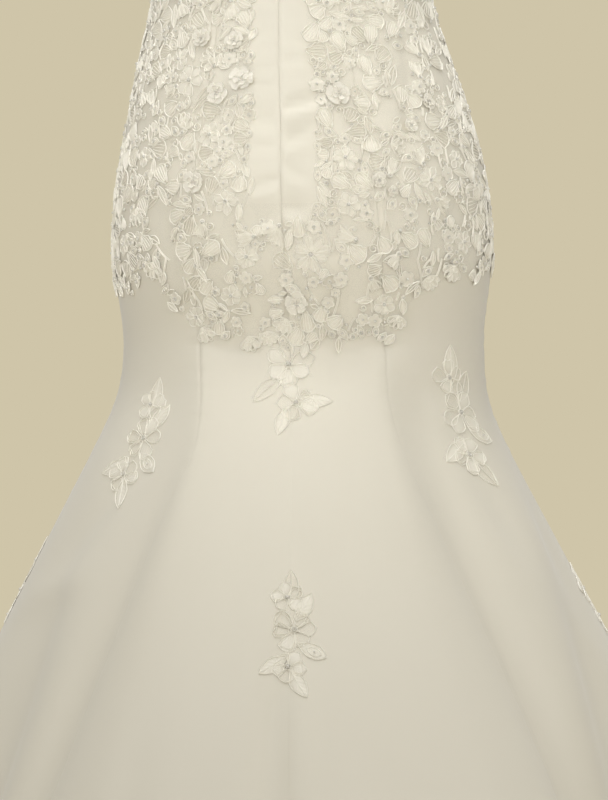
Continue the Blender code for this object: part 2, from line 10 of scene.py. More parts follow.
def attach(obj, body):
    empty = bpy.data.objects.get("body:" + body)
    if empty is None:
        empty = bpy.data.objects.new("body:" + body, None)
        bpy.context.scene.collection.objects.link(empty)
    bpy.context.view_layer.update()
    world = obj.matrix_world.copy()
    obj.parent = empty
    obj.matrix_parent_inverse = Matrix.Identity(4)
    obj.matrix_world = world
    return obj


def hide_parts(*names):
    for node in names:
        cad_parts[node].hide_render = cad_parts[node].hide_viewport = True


# A trumpet wedding gown: seven satin gores, corded lace with beads, and a closed zip at the back.
# Metres, +Z up, the waist at the origin. Angles are degrees round the gown from the centre back,
# positive towards +X, and 180 at the centre front.

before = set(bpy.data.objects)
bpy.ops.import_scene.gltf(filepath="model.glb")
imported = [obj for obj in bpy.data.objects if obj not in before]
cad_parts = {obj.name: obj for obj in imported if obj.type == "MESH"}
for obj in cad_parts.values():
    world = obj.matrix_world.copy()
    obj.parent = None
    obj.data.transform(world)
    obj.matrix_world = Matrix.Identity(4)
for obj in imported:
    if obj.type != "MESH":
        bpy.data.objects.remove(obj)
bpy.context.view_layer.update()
print("frame loaded:", len(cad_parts), "solids")

# The gown's form, in the same sizes as its solids
form = {
    "hem": -1.090,
    "seatBreak": -0.3555,
    "flankBreak": -0.392,
    "flankFrom": (27, 44),
    "sideBreak": -0.402,
    "frontBreak": -0.420,
    "backFlare": 0.60,
    "sideFlare": 0.535,
    "frontFlare": 0.50,
    "backEase": 0.006,
    "sideEase": 0.015,
    "cupAngle": 147.0,
    "cupSpread": 22.0,
    "cupHeight": 0.165,
    "cupRise": 0.062,
    "cupSwell": 0.020,
}

body = (
    ("height", "halfWidth", "back", "front"),
    (0.300, 0.160, 0.092, 0.108),
    (0.180, 0.154, 0.095, 0.112),
    (0.090, 0.130, 0.084, 0.098),
    (0.000, 0.1195, 0.081, 0.085),
    (-0.045, 0.1250, 0.087, 0.092),
    (-0.135, 0.1490, 0.110, 0.102),
    (-0.225, 0.1680, 0.126, 0.104),
    (-0.270, 0.1705, 0.124, 0.102),
    (-0.3555, 0.1620, 0.106, 0.097),
    (-0.405, 0.1620, 0.106, 0.095),
)

seams = (
    ("height", "backRight", "backLeft", "sideSeam", "frontSeam"),
    (0.180, 31.0, 31.0, 90.0, 147.0),
    (0.000, 24.0, 24.0, 90.0, 153.0),
    (-0.220, 29.0, 29.0, 90.0, 147.0),
    (-0.3555, 30.3, 30.0, 90.0, 146.0),
    (-0.430, 31.6, 28.6, 90.0, 146.0),
    (-0.500, 36.0, 32.8, 90.0, 145.0),
    (-0.605, 40.5, 36.6, 90.0, 144.0),
    (-0.7225, 44.5, 39.5, 90.0, 143.0),
    (-1.090, 48.5, 43.5, 90.0, 141.0),
)

topEdge = (
    ("angle", "height"),
    (0, 0.160), (30, 0.170), (60, 0.186), (90, 0.198),
    (120, 0.232), (147, 0.272), (166, 0.250), (180, 0.222),
)

# Valleys between the flutes of the skirt
folds = (
    ("start", "angle", "hemAngle", "hemDepth", "widthBefore", "widthAfter"),
    (-0.620, -0.5, -0.8, 0.034, 4.2, 4.6),
    (-0.365, 31.0, 49.0, 0.058, 4.5, 8.5),
    (-0.440, 88.0, 60.0, 0.085, 9.0, 9.5),
    (-0.600, 19.0, 20.0, 0.012, 5.0, 6.0),
    (-0.365, -29.0, -43.0, 0.036, 3.8, 4.2),
    (-0.455, -66.0, -54.5, 0.080, 7.5, 10.0),
    (-0.600, -13.5, -15.0, 0.013, 5.0, 5.5),
    (-0.480, -95.0, -92.0, 0.045, 8.0, 8.0),
    (-0.500, 112.0, 103.0, 0.050, 8.0, 8.0),
    (-0.440, -118.0, -121.0, 0.066, 8.5, 9.5),
    (-0.440, 139.0, 137.0, 0.056, 8.5, 8.5),
    (-0.470, -149.0, -150.0, 0.046, 8.5, 8.0),
    (-0.560, 168.0, 170.0, 0.036, 8.0, 8.0),
)

# How the worn gown stands: its skirt turns a little on the hips and the hips sit to one side
stance = (
    ("height", "twist", "lean"),
    (0.300, 0.0, 0.0),
    (0.100, 0.0, 0.0),
    (-0.045, -1.2, -0.0010),
    (-0.200, -2.0, 0.0055),
    (-0.3555, 0.0, 0.0060),
    (-0.445, 3.6, 0.0022),
    (-1.090, 3.8, 0.0030),
)

curves = {}


def curveOf(table, name):
    # The rows of one column of a table, with the powers of a curve between them that never overshoots
    rows = sorted(table[1:])
    keys = np.array([row[0] for row in rows], float)
    values = np.array([row[table[0].index(name)] for row in rows], float)
    span = np.diff(keys)
    step = np.diff(values) / span
    before, after = step[:-1], step[1:]
    turning = before * after <= 0
    total = np.where(turning, 1.0, before + after)
    slope = np.concatenate([step[:1], np.where(turning, 0.0, 2 * before * after / total), step[-1:]])
    low, high = slope[:-1], slope[1:]
    return keys, values[:-1], low, (3 * step - 2 * low - high) / span, (low + high - 2 * step) / span ** 2


def readTable(table, name, at):
    # A column of a table at any heights or angles
    if (id(table), name) not in curves:
        curves[id(table), name] = curveOf(table, name)
    keys, value, first, second, third = curves[id(table), name]
    at = np.clip(at, keys[0], keys[-1])
    i = np.clip(np.searchsorted(keys, at, side="right") - 1, 0, len(keys) - 2)
    d = at - keys[i]
    return value[i] + d * (first[i] + d * (second[i] + d * third[i]))


def smooth(low, high, value):
    t = np.clip((value - low) / (high - low), 0.0, 1.0)
    return t * t * (3 - 2 * t)


def turned(angle):
    return (angle + 180.0) % 360.0 - 180.0


def flare(height, start, rate, ease):
    # Straight out below its start; the bend there is spent within thirty eases
    drop = (start - height) / ease
    return rate * ease * np.where(drop > 30, drop, np.log1p(np.exp(np.minimum(drop, 30))))


def foldDepth(angle, height):
    # How far the valleys between the flutes lie inside the flared skirt
    depth = np.zeros(np.broadcast(angle, height).shape)
    for start, first, last, hemDepth, before, after in folds[1:]:
        if np.min(height) >= start:
            continue
        t = np.clip((start - height) / (start - form["hem"]), 0.0, None)
        centre = last + (first - last) * (1 - t) ** 3
        away = turned(angle - centre)
        outward = np.where(centre >= 0, away, -away)
        width = np.where(outward > 0, after, before)
        depth = depth + hemDepth * t ** 1.25 * np.exp(-(away / width) ** 2)
    return depth


def gownPoint(angle, height):
    # Points on the outside of the satin, before its creases
    side = np.abs(turned(angle))
    turn = np.radians(angle)
    halfWidth = readTable(body, "halfWidth", height)
    halfWidth = halfWidth + flare(height, form["sideBreak"], form["sideFlare"], form["sideEase"])
    start = form["seatBreak"] + (form["flankBreak"] - form["seatBreak"]) * smooth(*form["flankFrom"], side)
    back = readTable(body, "back", height) + flare(height, start, form["backFlare"], form["backEase"])
    front = readTable(body, "front", height)
    front = front + flare(height, form["frontBreak"], form["frontFlare"], form["sideEase"])
    x = halfWidth * np.sin(turn)
    y = -np.where(side < 90, back, front) * np.cos(turn)
    cup = np.exp(-((side - form["cupAngle"]) / form["cupSpread"]) ** 2
                 - ((height - form["cupHeight"]) / form["cupRise"]) ** 2)
    out = form["cupSwell"] * cup - foldDepth(angle, height)
    radius = np.hypot(x, y)
    grow = (radius + out) / radius
    twist = np.radians(readTable(stance, "twist", height))
    c, s = grow * np.cos(twist), grow * np.sin(twist)
    lean = readTable(stance, "lean", height)
    return np.stack([x * c - y * s + lean, x * s + y * c, height + 0 * x], axis=-1)


def gownNormal(angle, height):
    # From the places 0.4 degrees and 2 mm to either side
    roundIt = gownPoint(angle + 0.4, height) - gownPoint(angle - 0.4, height)
    downIt = gownPoint(angle, height - 0.002) - gownPoint(angle, height + 0.002)
    out = np.cross(downIt, roundIt)
    return out / np.linalg.norm(out, axis=-1, keepdims=True)


# Creases that the solids leave out: seams sink a little, and the satin puckers and ripples beside them
creases = {
    "seamDepth": 0.0008,
    "seamWidth": 0.0011,
    "seamRidge": 0.00008,
    "ridgeAway": 3.2,
    "ridgeWidth": 2.0,
    "seamFades": (-0.32, -0.44),
    "centreBelow": 0.10,
    "sidesBelow": 0.35,
    "puckerDepth": 0.00026,
    "puckerReach": 0.011,
    "puckerPitches": (0.0127, 0.0203),
    "zipDepth": 1.25,
    "zipRidge": 0.8,
    "zipStart": 0.005,
    "foldStart": (-0.15, 0.30),
    "foldEnd": (0.60, 1.15),
    "hemTurn": 0.022,
    "hemTurnWidth": 0.0012,
    "topTurn": 0.0065,
    "topTurnWidth": 0.0010,
    "turnDepth": 0.00022,
    "unevenness": 0.0011,
    "unevenFrom": (-0.36, -0.62),
    "unevenAbove": 0.15,
    "unevenWaves": ((3, 9, 0.0), (5, -14, 1.3), (8, 6, 2.1)),
}

# Drag lines that start at the zip
zipPuckers = (
    ("height", "side", "reach", "slope", "depth", "width"),
    (0.118, -1, 0.024, -0.20, 0.0007, 0.0040),
    (0.096, 1, 0.026, 0.25, 0.0008, 0.0042),
    (0.061, -1, 0.028, 0.20, 0.0009, 0.0045),
    (0.030, 1, 0.024, -0.30, 0.0009, 0.0042),
    (0.006, -1, 0.030, -0.10, 0.0010, 0.0050),
    (-0.024, 1, 0.026, 0.20, 0.0009, 0.0042),
    (-0.050, -1, 0.028, 0.15, 0.0010, 0.0048),
    (-0.0765, -1, 0.028, -0.12, 0.0012, 0.0046),
    (-0.082, 1, 0.030, -0.35, 0.0010, 0.0046),
    (-0.104, 1, 0.034, 0.14, 0.0013, 0.0044),
    (-0.1115, -1, 0.040, -0.05, 0.0016, 0.0036),
    (-0.124, -1, 0.028, 0.04, 0.0010, 0.0040),
    (-0.1435, 1, 0.046, 0.30, 0.0024, 0.0062),
    (-0.1555, -1, 0.030, 0.0, 0.0015, 0.0076),
    (-0.1755, 1, 0.026, 0.45, 0.0021, 0.0052),
    (-0.177, -1, 0.026, -0.05, 0.0010, 0.0045),
    (-0.196, 1, 0.026, -0.55, 0.0014, 0.0050),
    (-0.205, -1, 0.034, -0.42, 0.0012, 0.0055),
    (-0.2315, 1, 0.024, -0.05, 0.0019, 0.0066),
    (-0.238, -1, 0.030, -0.25, 0.0011, 0.0055),
)

# Soft troughs (below 0) and ridges (above 0) from one place on the gown to another
softFolds = (
    ("angle", "height", "endAngle", "endHeight", "depth", "width"),
    (24, -0.345, 12, -0.395, -0.0016, 0.012),
    (-23, -0.345, -12, -0.392, -0.0014, 0.011),
    (31, -0.350, 47, -0.395, 0.0018, 0.012),
    (-31, -0.350, -47, -0.395, 0.0018, 0.012),
    (12, -0.420, 15, -0.560, -0.0016, 0.014),
    (-9, -0.470, -14, -0.660, -0.0014, 0.016),
    (-2.6, -0.600, -4.6, -0.900, -0.0050, 0.013),
    (2.4, -0.610, 1.6, -0.880, 0.0040, 0.013),
    (10, -0.700, 11, -0.960, 0.0030, 0.022),
    (26, -0.640, 28, -1.000, -0.0035, 0.024),
    (-24, -0.640, -25, -1.000, -0.0038, 0.024),
    (-44, -0.430, -62, -0.535, -0.0040, 0.018),
    (-48, -0.545, -75, -0.580, 0.0030, 0.016),
    (52, -0.420, 60, -0.545, -0.0034, 0.018),
    (70, -0.500, 78, -0.720, 0.0030, 0.024),
    (-74, -0.610, -80, -0.860, 0.0032, 0.026),
    (56, -0.070, 36, -0.215, -0.0030, 0.0065),
    (-46, -0.070, -45, -0.125, -0.0018, 0.0060),
    (-39, -0.215, -36, -0.300, -0.0016, 0.0080),
    (64, -0.075, 82, -0.068, -0.0012, 0.006),
    (-60, -0.062, -84, -0.070, -0.0012, 0.006),
    (98, -0.030, 122, -0.022, -0.0011, 0.006),
    (-98, -0.020, -120, -0.034, -0.0012, 0.006),
    (44, 0.012, 62, 0.020, -0.0010, 0.005),
    (-42, 0.024, -64, 0.014, -0.0010, 0.005),
    (160, -0.260, 176, -0.282, -0.0012, 0.008),
    (204, -0.262, 186, -0.280, -0.0012, 0.008),
    (150, -0.420, 158, -0.700, -0.0026, 0.020),
    (196, -0.480, 200, -0.800, 0.0030, 0.026),
    (120, -0.470, 124, -0.740, 0.0028, 0.022),
    (-104, -0.460, -106, -0.780, 0.0028, 0.024),
    (-136, -0.450, -133, -0.760, -0.0028, 0.022),
)


def seamAngles(height, left=False):
    back = np.where(left, readTable(seams, "backLeft", height), readTable(seams, "backRight", height))
    side, front = (readTable(seams, name, height) for name in ("sideSeam", "frontSeam"))
    return [0 * back, back, side + 0 * back, front + 0 * back, 0 * back + 180.0]


def creaseLift(angle, height, radius):
    # How far the creases move the satin out, in metres
    lift = np.zeros(angle.shape)
    lines = {sign: seamAngles(height, sign < 0) for sign in (-1, 1)}
    signed = [(lines[1][0], 0.0)]
    signed += [(sign * lines[sign][k], k + sign * 0.5) for k in (1, 2, 3) for sign in (-1, 1)]
    low = smooth(*creases["seamFades"], height)
    seam = creases["seamWidth"]
    fine, coarse = (height * 2 * np.pi / pitch for pitch in creases["puckerPitches"])
    for line, phase in signed:
        across = np.abs(np.radians(turned(angle - line)) * radius)
        sunk = 1 - (1 - creases["sidesBelow" if phase else "centreBelow"]) * low
        lift -= creases["seamDepth"] * sunk * np.exp(-(across / seam) ** 2)
        ridge = (across - creases["ridgeAway"] * seam) / (creases["ridgeWidth"] * seam)
        lift += creases["seamRidge"] * sunk * np.exp(-ridge ** 2)
        waves = np.sin(fine + phase * 2.1) + np.sin(coarse + phase)
        lift += creases["puckerDepth"] * waves * np.exp(-(across / creases["puckerReach"]) ** 2)
    fromZip = np.radians(turned(angle)) * radius
    for at, side, reach, slope, depth, width in zipPuckers[1:]:
        x = fromZip * side
        y = height - at - slope * x
        ends = smooth(0.0, creases["zipStart"], x) * (1 - smooth(0.35 * reach, reach, x))
        ridge = creases["zipRidge"] * np.exp(-((y + 1.5 * width) / width) ** 2)
        lift += creases["zipDepth"] * depth * ends * (ridge - np.exp(-(y / width) ** 2))
    for a0, h0, a1, h1, depth, width in softFolds[1:]:
        scale = np.radians(1.0) * radius
        dx, dy = turned(a1 - a0) * scale, h1 - h0
        px, py = turned(angle - a0) * scale, height - h0
        length2 = dx ** 2 + dy ** 2
        t = (px * dx + py * dy) / length2
        off = np.abs(px * dy - py * dx) / np.sqrt(length2)
        ends = smooth(*creases["foldStart"], t) * (1 - smooth(*creases["foldEnd"], t))
        lift += depth * ends * np.exp(-(off / width) ** 2)
    turn = np.radians(angle)
    slow = sum(np.sin(around * turn + down * height + start)
               for around, down, start in creases["unevenWaves"])
    below = smooth(*creases["unevenFrom"], height) + creases["unevenAbove"]
    lift += creases["unevenness"] * below * slow / 1.7
    for away, edge in ((height - form["hem"], "hemTurn"), (topOf(angle) - height, "topTurn")):
        lift -= creases["turnDepth"] * np.exp(-((away - creases[edge]) / creases[edge + "Width"]) ** 2)
    return lift


def onSatin(angle, height, lift=0.0):
    # Places on the creased satin, moved out along the gown's own normal
    angle, height = np.broadcast_arrays(np.asarray(angle, float), np.asarray(height, float))
    base = gownPoint(angle, height)
    radius = np.hypot(base[..., 0], base[..., 1])
    out = creaseLift(angle, height, radius) + lift
    return base + gownNormal(angle, height) * out[..., None]


# The grid that the solids are laid out on: columns round the gown, rows down it
grid = {
    "seamAt": (0, 6, 14, 22, 27),
    "around": 54,
    "frontFold": 27,
    "bodiceRows": 6,
    "stops": ((0.0, 6), (-0.3555, 9), (-0.445, 3), (-1.090, 6)),
    "cellWidth": 0.0185,
    "cellHeight": 0.0395,
}
rowHeights = np.concatenate(
    [np.linspace(above, below, count, endpoint=False)
     for (above, _), (below, count) in zip(grid["stops"], grid["stops"][1:])] + [[form["hem"]]])
lastRow = grid["bodiceRows"] + len(rowHeights) - 1


def topOf(angle):
    return readTable(topEdge, "height", np.abs(turned(angle)))


def heightOf(row, angle):
    low = np.interp(row - grid["bodiceRows"], np.arange(len(rowHeights)), rowHeights)
    return np.where(row <= grid["bodiceRows"], topOf(angle) * (1 - row / grid["bodiceRows"]), low)


def rowOf(angle, height):
    low = grid["bodiceRows"] + np.interp(-height, -rowHeights, np.arange(len(rowHeights)))
    return np.where(height >= 0, grid["bodiceRows"] * (1 - height / topOf(angle)), low)


def angleOf(column, height):
    column, height = np.broadcast_arrays(np.asarray(column, float), np.asarray(height, float))
    c = np.abs(column)
    far = c > grid["frontFold"]
    c = np.where(far, grid["around"] - c, c)
    lines = np.stack(seamAngles(height, (column < 0) | far), axis=-1)
    at = np.array(grid["seamAt"], float)
    i = np.clip(np.searchsorted(at, c, side="right") - 1, 0, 3)
    t = (c - at[i]) / (at[i + 1] - at[i])
    low = np.take_along_axis(lines, i[..., None], -1)[..., 0]
    high = np.take_along_axis(lines, i[..., None] + 1, -1)[..., 0]
    angle = low + t * (high - low)
    return np.where(far, 360.0 - angle, angle) * np.where(column < 0, -1, 1)


def columnOf(angle, height):
    angle, height = np.broadcast_arrays(np.asarray(angle, float), np.asarray(height, float))
    a = np.abs(angle)
    far = a > 180.0
    a = np.where(far, 360.0 - a, a)
    lines = seamAngles(height, (angle < 0) | far)
    column = np.zeros(a.shape)
    for k in range(4):
        t = np.clip((a - lines[k]) / (lines[k + 1] - lines[k]), 0.0, 1.0)
        column += t * (grid["seamAt"][k + 1] - grid["seamAt"][k])
    return np.where(far, grid["around"] - column, column) * np.where(angle < 0, -1, 1)


def gridPlace(column, row):
    # Angle and height of a place on the grid
    angle = angleOf(column, heightOf(row, 90.0))
    return angle, heightOf(row, angle)


def gridOf(angle, height):
    row = rowOf(angle, height)
    return columnOf(angle, heightOf(row, 90.0)), row


# One class for every shader: a socket that takes arithmetic, and a method that adds any other node
class Wire:
    def __init__(self, tree, socket=None):
        self.tree = tree
        self.socket = socket

    def node(self, kind, settings=None, inputs=None, output=0):
        made = self.tree.nodes.new(kind)
        for key, value in (settings or {}).items():
            setattr(made, key, value)
        for key, value in (inputs or {}).items():
            if isinstance(value, Wire):
                self.tree.links.new(value.socket, made.inputs[key])
            else:
                made.inputs[key].default_value = value
        return Wire(self.tree, made.outputs[output])

    def maths(self, operation, first, second):
        return self.node("ShaderNodeMath", {"operation": operation}, {0: first, 1: second})

    def __add__(self, other):
        return self.maths("ADD", self, other)

    def __radd__(self, other):
        return self.maths("ADD", other, self)

    def __sub__(self, other):
        return self.maths("SUBTRACT", self, other)

    def __rsub__(self, other):
        return self.maths("SUBTRACT", other, self)

    def __mul__(self, other):
        return self.maths("MULTIPLY", self, other)

    def __rmul__(self, other):
        return self.maths("MULTIPLY", other, self)

    def __gt__(self, other):
        return self.maths("GREATER_THAN", self, other)

    def __abs__(self):
        return self.maths("ABSOLUTE", self, 0.0)

    def sine(self):
        return self.maths("SINE", self, 0.0)


def newMaterial(name, settings):
    # A Principled material with its constants set, and the wire that its nodes start from
    made = bpy.data.materials.new(name)
    made.use_nodes = True
    shader = made.node_tree.nodes["Principled BSDF"]
    for key, value in settings.items():
        shader.inputs[key].default_value = value
    return made, shader, Wire(made.node_tree)


def feed(shader, socket, wire):
    wire.tree.links.new(wire.socket, shader.inputs[socket])


def place(wire, scale=(1, 1, 1)):
    # Where a point lies in metres on its own piece
    where = wire.node("ShaderNodeTexCoord", output=3)
    return where.node("ShaderNodeMapping", inputs={"Vector": where, "Scale": scale})


def noise(where, scale, detail=2.0, roughness=0.5):
    return where.node("ShaderNodeTexNoise", inputs={
        "Vector": where, "Scale": scale, "Detail": detail, "Roughness": roughness})


def blendColour(factor, low, high):
    colours = {0: factor, 6: (*low, 1), 7: (*high, 1)}
    return factor.node("ShaderNodeMix", {"data_type": "RGBA"}, colours, output=2)


def bump(height, strength, distance, normal=None):
    inputs = {"Height": height, "Strength": strength, "Distance": distance}
    if normal is not None:
        inputs["Normal"] = normal
    return height.node("ShaderNodeBump", inputs=inputs)


satinLook = {
    "light": (0.757, 0.716, 0.606),
    "shade": (0.738, 0.696, 0.581),
    "roughness": 0.40,
    "roughnessSpread": 0.10,
    "sheen": 0.22,
    "sheenRoughness": 0.45,
    "specular": 0.42,
    "cloudScale": 7.0,
    "glossScale": 32.0,
    "rippleScale": 26.0,
    "rippleStrength": 0.18,
    "rippleDepth": 0.0022,
    "threadScale": 1900.0,
    "slubScale": 900.0,
    "weaveStrength": 0.16,
    "weaveDepth": 0.0002,
}


def satinMaterial():
    # Satin with long slubs down it, and ripples too soft to be creases
    look = satinLook
    made, shader, wire = newMaterial("satin", {
        "Sheen Weight": look["sheen"], "Sheen Roughness": look["sheenRoughness"],
        "Specular IOR Level": look["specular"]})
    where = place(wire)
    cloudy = noise(where, look["cloudScale"], 3.0)
    grain = noise(place(wire, (1, 1, 0.25)), look["threadScale"], 2.0)
    feed(shader, "Base Color", blendColour(cloudy * 0.75 + grain * 0.25, look["shade"], look["light"]))
    least = look["roughness"] - look["roughnessSpread"] / 2
    feed(shader, "Roughness", least + noise(where, look["glossScale"], 2.0) * look["roughnessSpread"])
    soft = bump(noise(where, look["rippleScale"], 2.0), look["rippleStrength"], look["rippleDepth"])
    slubs = noise(place(wire, (1, 1, 0.06)), look["slubScale"], 2.0)
    feed(shader, "Normal", bump(slubs * 0.5 + grain * 0.5, look["weaveStrength"], look["weaveDepth"], soft))
    return made


laceLook = {
    "cordLight": (0.975, 0.947, 0.855),
    "cordShade": (0.940, 0.906, 0.802),
    "petalLight": (0.862, 0.824, 0.714),
    "petalShade": (0.815, 0.775, 0.660),
    # Painted shade: the dark colour that petals and leaves turn to at their sides and roots
    "paintedEdgeShade": (0.600, 0.556, 0.435),
    "flowerLight": (0.855, 0.820, 0.725),
    "flowerShade": (0.810, 0.772, 0.672),
    # How much of that painted shade is mixed in
    "paintedShadeShare": 0.8,
    "sheen": 0.30,
    "sheenRoughness": 0.4,
    "specular": 0.45,
    "ribsAcross": 24.0,
    "veinsAlong": 44.0,
    "veinSlant": 9.0,
    "ribStrength": 0.6,
    "ribDepth": 0.00014,
    "twistShare": 0.45,
    "twistStrength": 0.5,
    "toneScale": 60.0,
    "roughnessSpread": 0.12,
    "netCell": 0.0017,
    "netThread": 0.085,
    "netCover": 0.032,
}


def threadMaterial(name, low, high, roughness, scale, depth, ribs=None):
    # Ribs follow each petal's own layout, along it or like the veins of a leaf; painted shade darkens its
    # sides and its root
    look = laceLook
    made, shader, wire = newMaterial(name, {
        "Sheen Weight": look["sheen"], "Sheen Roughness": look["sheenRoughness"],
        "Specular IOR Level": look["specular"]})
    where = place(wire)
    twist = noise(where, scale, 3.0, 0.6)
    tone = noise(where, look["toneScale"], 2.0)
    surface = bump(twist, look["twistStrength"], depth)
    share = look["twistShare"]
    colour = blendColour(twist * share + tone * (1 - share), low, high)
    if ribs:
        layout = wire.node("ShaderNodeTexCoord", output=2)
        across = layout.node("ShaderNodeSeparateXYZ", inputs={0: layout})
        along = layout.node("ShaderNodeSeparateXYZ", inputs={0: layout}, output=1)
        if ribs == "petal":
            lines = across * look["ribsAcross"]
        else:
            lines = along * look["veinsAlong"] - abs(across) * look["veinSlant"]
        surface = bump(lines.sine(), look["ribStrength"], look["ribDepth"], surface)
        # Painted shade: darker towards the petal's sides and its root, standing in for shade beside its
        # corded edge and at the flower's heart
        side = abs(across)
        near = side * side * side * side + (1 - along) * (1 - along) * (1 - along) * 0.6
        colour = colour.node("ShaderNodeMix", {"data_type": "RGBA", "clamp_factor": True},
                             {0: near * look["paintedShadeShare"], 6: colour, 7: (*look["paintedEdgeShade"], 1)}, output=2)
    feed(shader, "Base Color", colour)
    spread = look["roughnessSpread"]
    feed(shader, "Roughness", roughness - spread / 2 + twist * spread)
    feed(shader, "Normal", surface)
    return made


def netMaterial():
    # Fine tulle: threads round small clear cells
    made, shader, wire = newMaterial("tulle", {
        "Roughness": 0.62, "Sheen Weight": 0.15, "Sheen Roughness": 0.5})
    where = place(wire)
    edge = where.node("ShaderNodeTexVoronoi", {"feature": "DISTANCE_TO_EDGE"},
                      {"Vector": where, "Scale": 1.0 / laceLook["netCell"]})
    cloudy = noise(where, 40.0, 2.0)
    feed(shader, "Base Color", blendColour(cloudy, laceLook["cordShade"], laceLook["cordLight"]))
    feed(shader, "Alpha", (1 - (edge > laceLook["netThread"])) * laceLook["netCover"])
    return made


beadLook = {
    "pearl": (0.86, 0.83, 0.75),
    "sequin": (0.85, 0.82, 0.74),
    # Darker than the other beads: partly the crystal's own colour, partly painted shade for the sequin's
    # deep centre
    "crystal": (0.76, 0.72, 0.60),
    "darker": 0.84,
    "toneScale": 240.0,
}
trimLook = {
    "enamel": (0.78, 0.75, 0.65),
    "ribbonShade": (0.70, 0.66, 0.55),
    "ribbonLight": (0.79, 0.75, 0.64),
    "ribbonRibs": 420.0,
    "sewingShade": (0.74, 0.69, 0.57),
    "sewingLight": (0.83, 0.79, 0.68),
}


def glossMaterial(name, colour, roughness, metallic, coat):
    made, shader, wire = newMaterial(name, {
        "Metallic": metallic, "Coat Weight": coat, "Coat Roughness": 0.08, "Specular IOR Level": 0.6})
    tone = noise(place(wire), beadLook["toneScale"], 1.0)
    darker = tuple(beadLook["darker"] * part for part in colour)
    feed(shader, "Base Color", blendColour(tone, darker, colour))
    feed(shader, "Roughness", roughness - 0.05 + tone * 0.10)
    return made


def ribbonMaterial():
    # The zip's woven tape, with a rib across it
    made, shader, wire = newMaterial("zip_ribbon", {"Sheen Weight": 0.2, "Sheen Roughness": 0.5})
    where = place(wire)
    ribs = where.node("ShaderNodeTexWave", {"wave_type": "BANDS", "bands_direction": "Z"},
                      {"Vector": where, "Scale": trimLook["ribbonRibs"], "Distortion": 0.4})
    feed(shader, "Base Color", blendColour(ribs, trimLook["ribbonShade"], trimLook["ribbonLight"]))
    feed(shader, "Roughness", 0.62 + ribs * 0.1)
    feed(shader, "Normal", bump(ribs, 0.5, 0.0003))
    return made


def shades(look, name):
    return look[name + "Shade"], look[name + "Light"]


# Threads take roughness, twist scale and depth; glossy pieces take roughness, metal and coat
materials = {
    "satin": satinMaterial(),
    "cord": threadMaterial("lace_cord", *shades(laceLook, "cord"), 0.36, 1500.0, 0.00008),
    "petal": threadMaterial("lace_petal", *shades(laceLook, "petal"), 0.50, 900.0, 0.00008, "petal"),
    "leaf": threadMaterial("lace_leaf", *shades(laceLook, "petal"), 0.50, 900.0, 0.00008, "leaf"),
    "flower": threadMaterial("lace_flower", *shades(laceLook, "flower"), 0.55, 420.0, 0.0002),
    "net": netMaterial(),
    "pearl": glossMaterial("bead_pearl", beadLook["pearl"], 0.22, 0.0, 0.5),
    "sequin": glossMaterial("bead_sequin", beadLook["sequin"], 0.28, 0.1, 0.25),
    "crystal": glossMaterial("bead_crystal", beadLook["crystal"], 0.24, 0.05, 0.15),
    "enamel": glossMaterial("zip_enamel", trimLook["enamel"], 0.32, 0.25, 0.2),
    "ribbon": ribbonMaterial(),
    "sewing": threadMaterial("sewing_thread", *shades(trimLook, "sewing"), 0.5, 2200.0, 0.0002),
}
print("materials made:", len(materials))

sharpAngle = math.radians(60)


def newPiece(name, points, faces, material, slot, rider="gown", layout=None):
    # The layout holds each point's place across and along its own petal
    mesh = bpy.data.meshes.new(name)
    mesh.from_pydata(np.asarray(points).tolist(), [], faces)
    mesh.materials.append(materials[material])
    mesh.shade_smooth()
    mesh.set_sharp_from_angle(angle=sharpAngle)
    if layout is not None:
        corners = np.zeros(len(mesh.loops), int)
        mesh.loops.foreach_get("vertex_index", corners)
        mesh.uv_layers.new(name="layout").data.foreach_set("uv", layout[corners].astype(np.float32).ravel())
    piece = bpy.data.objects.new(name, mesh)
    bpy.context.scene.collection.objects.link(piece)
    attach(piece, rider)
    return piece


def rimWalls(faces, count):
    # Walls between an outer and an inner sheet of the same faces
    sides = set()
    for face in faces:
        sides.update(zip(face, face[1:] + face[:1]))
    return [(b, a, a + count, b + count) for a, b in sides if (b, a) not in sides]


# The satin gores: thin shells with rounded edges, finest beside the seams and at the seat
satin = {
    "thickness": 0.0018,
    "seamGap": 0.00014,
    "zipGap": 0.00024,
    "pressedGap": 0.00005,
    "edgeRound": 0.0009,
    "edgeLeast": 0.2,
    "pressedFrom": (-0.42, -0.33),
    "seamCrowding": 0.55,
    "gores": (
        ("name", "firstColumn", "lastColumn", "across"),
        ("centre_back_right", 0, 6, 34),
        ("centre_back_left", -6, 0, 34),
        ("side_back_right", 6, 14, 42),
        ("side_back_left", -14, -6, 42),
        ("side_front_right", 14, 22, 32),
        ("side_front_left", -22, -14, 32),
        ("centre_front", 22, 32, 40),
    ),
    "topHeight": 0.2,
    "rowsAbove": 34,
    "edgeRows": (0.0, 0.00015, 0.0005, 0.0011, 0.0022, 0.0040),
    "hemMargin": 0.0045,
    "rowSteps": ((0.0, 0.0066), (-0.02, 0.0046), (-0.25, 0.0050), (-0.335, 0.0030), (-0.43, 0.0062),
                 (-0.60, 0.0098), (-1.09, 0.0115)),
}


def rowPlaces():
    # Rows from the top edge down: a share of the height above the waist, and a height below it
    above = [1 - d / satin["topHeight"] for d in satin["edgeRows"]]
    above += list(np.linspace(above[-1], 0.0, satin["rowsAbove"])[1:-1])
    down, steps = zip(*((-height, step) for height, step in satin["rowSteps"]))
    below = []
    h = 0.0
    while h > form["hem"] + satin["hemMargin"]:
        below.append(h)
        h -= np.interp(-h, down, steps)
    below += [form["hem"] + d for d in reversed(satin["edgeRows"])]
    return np.array(above), np.array(below)


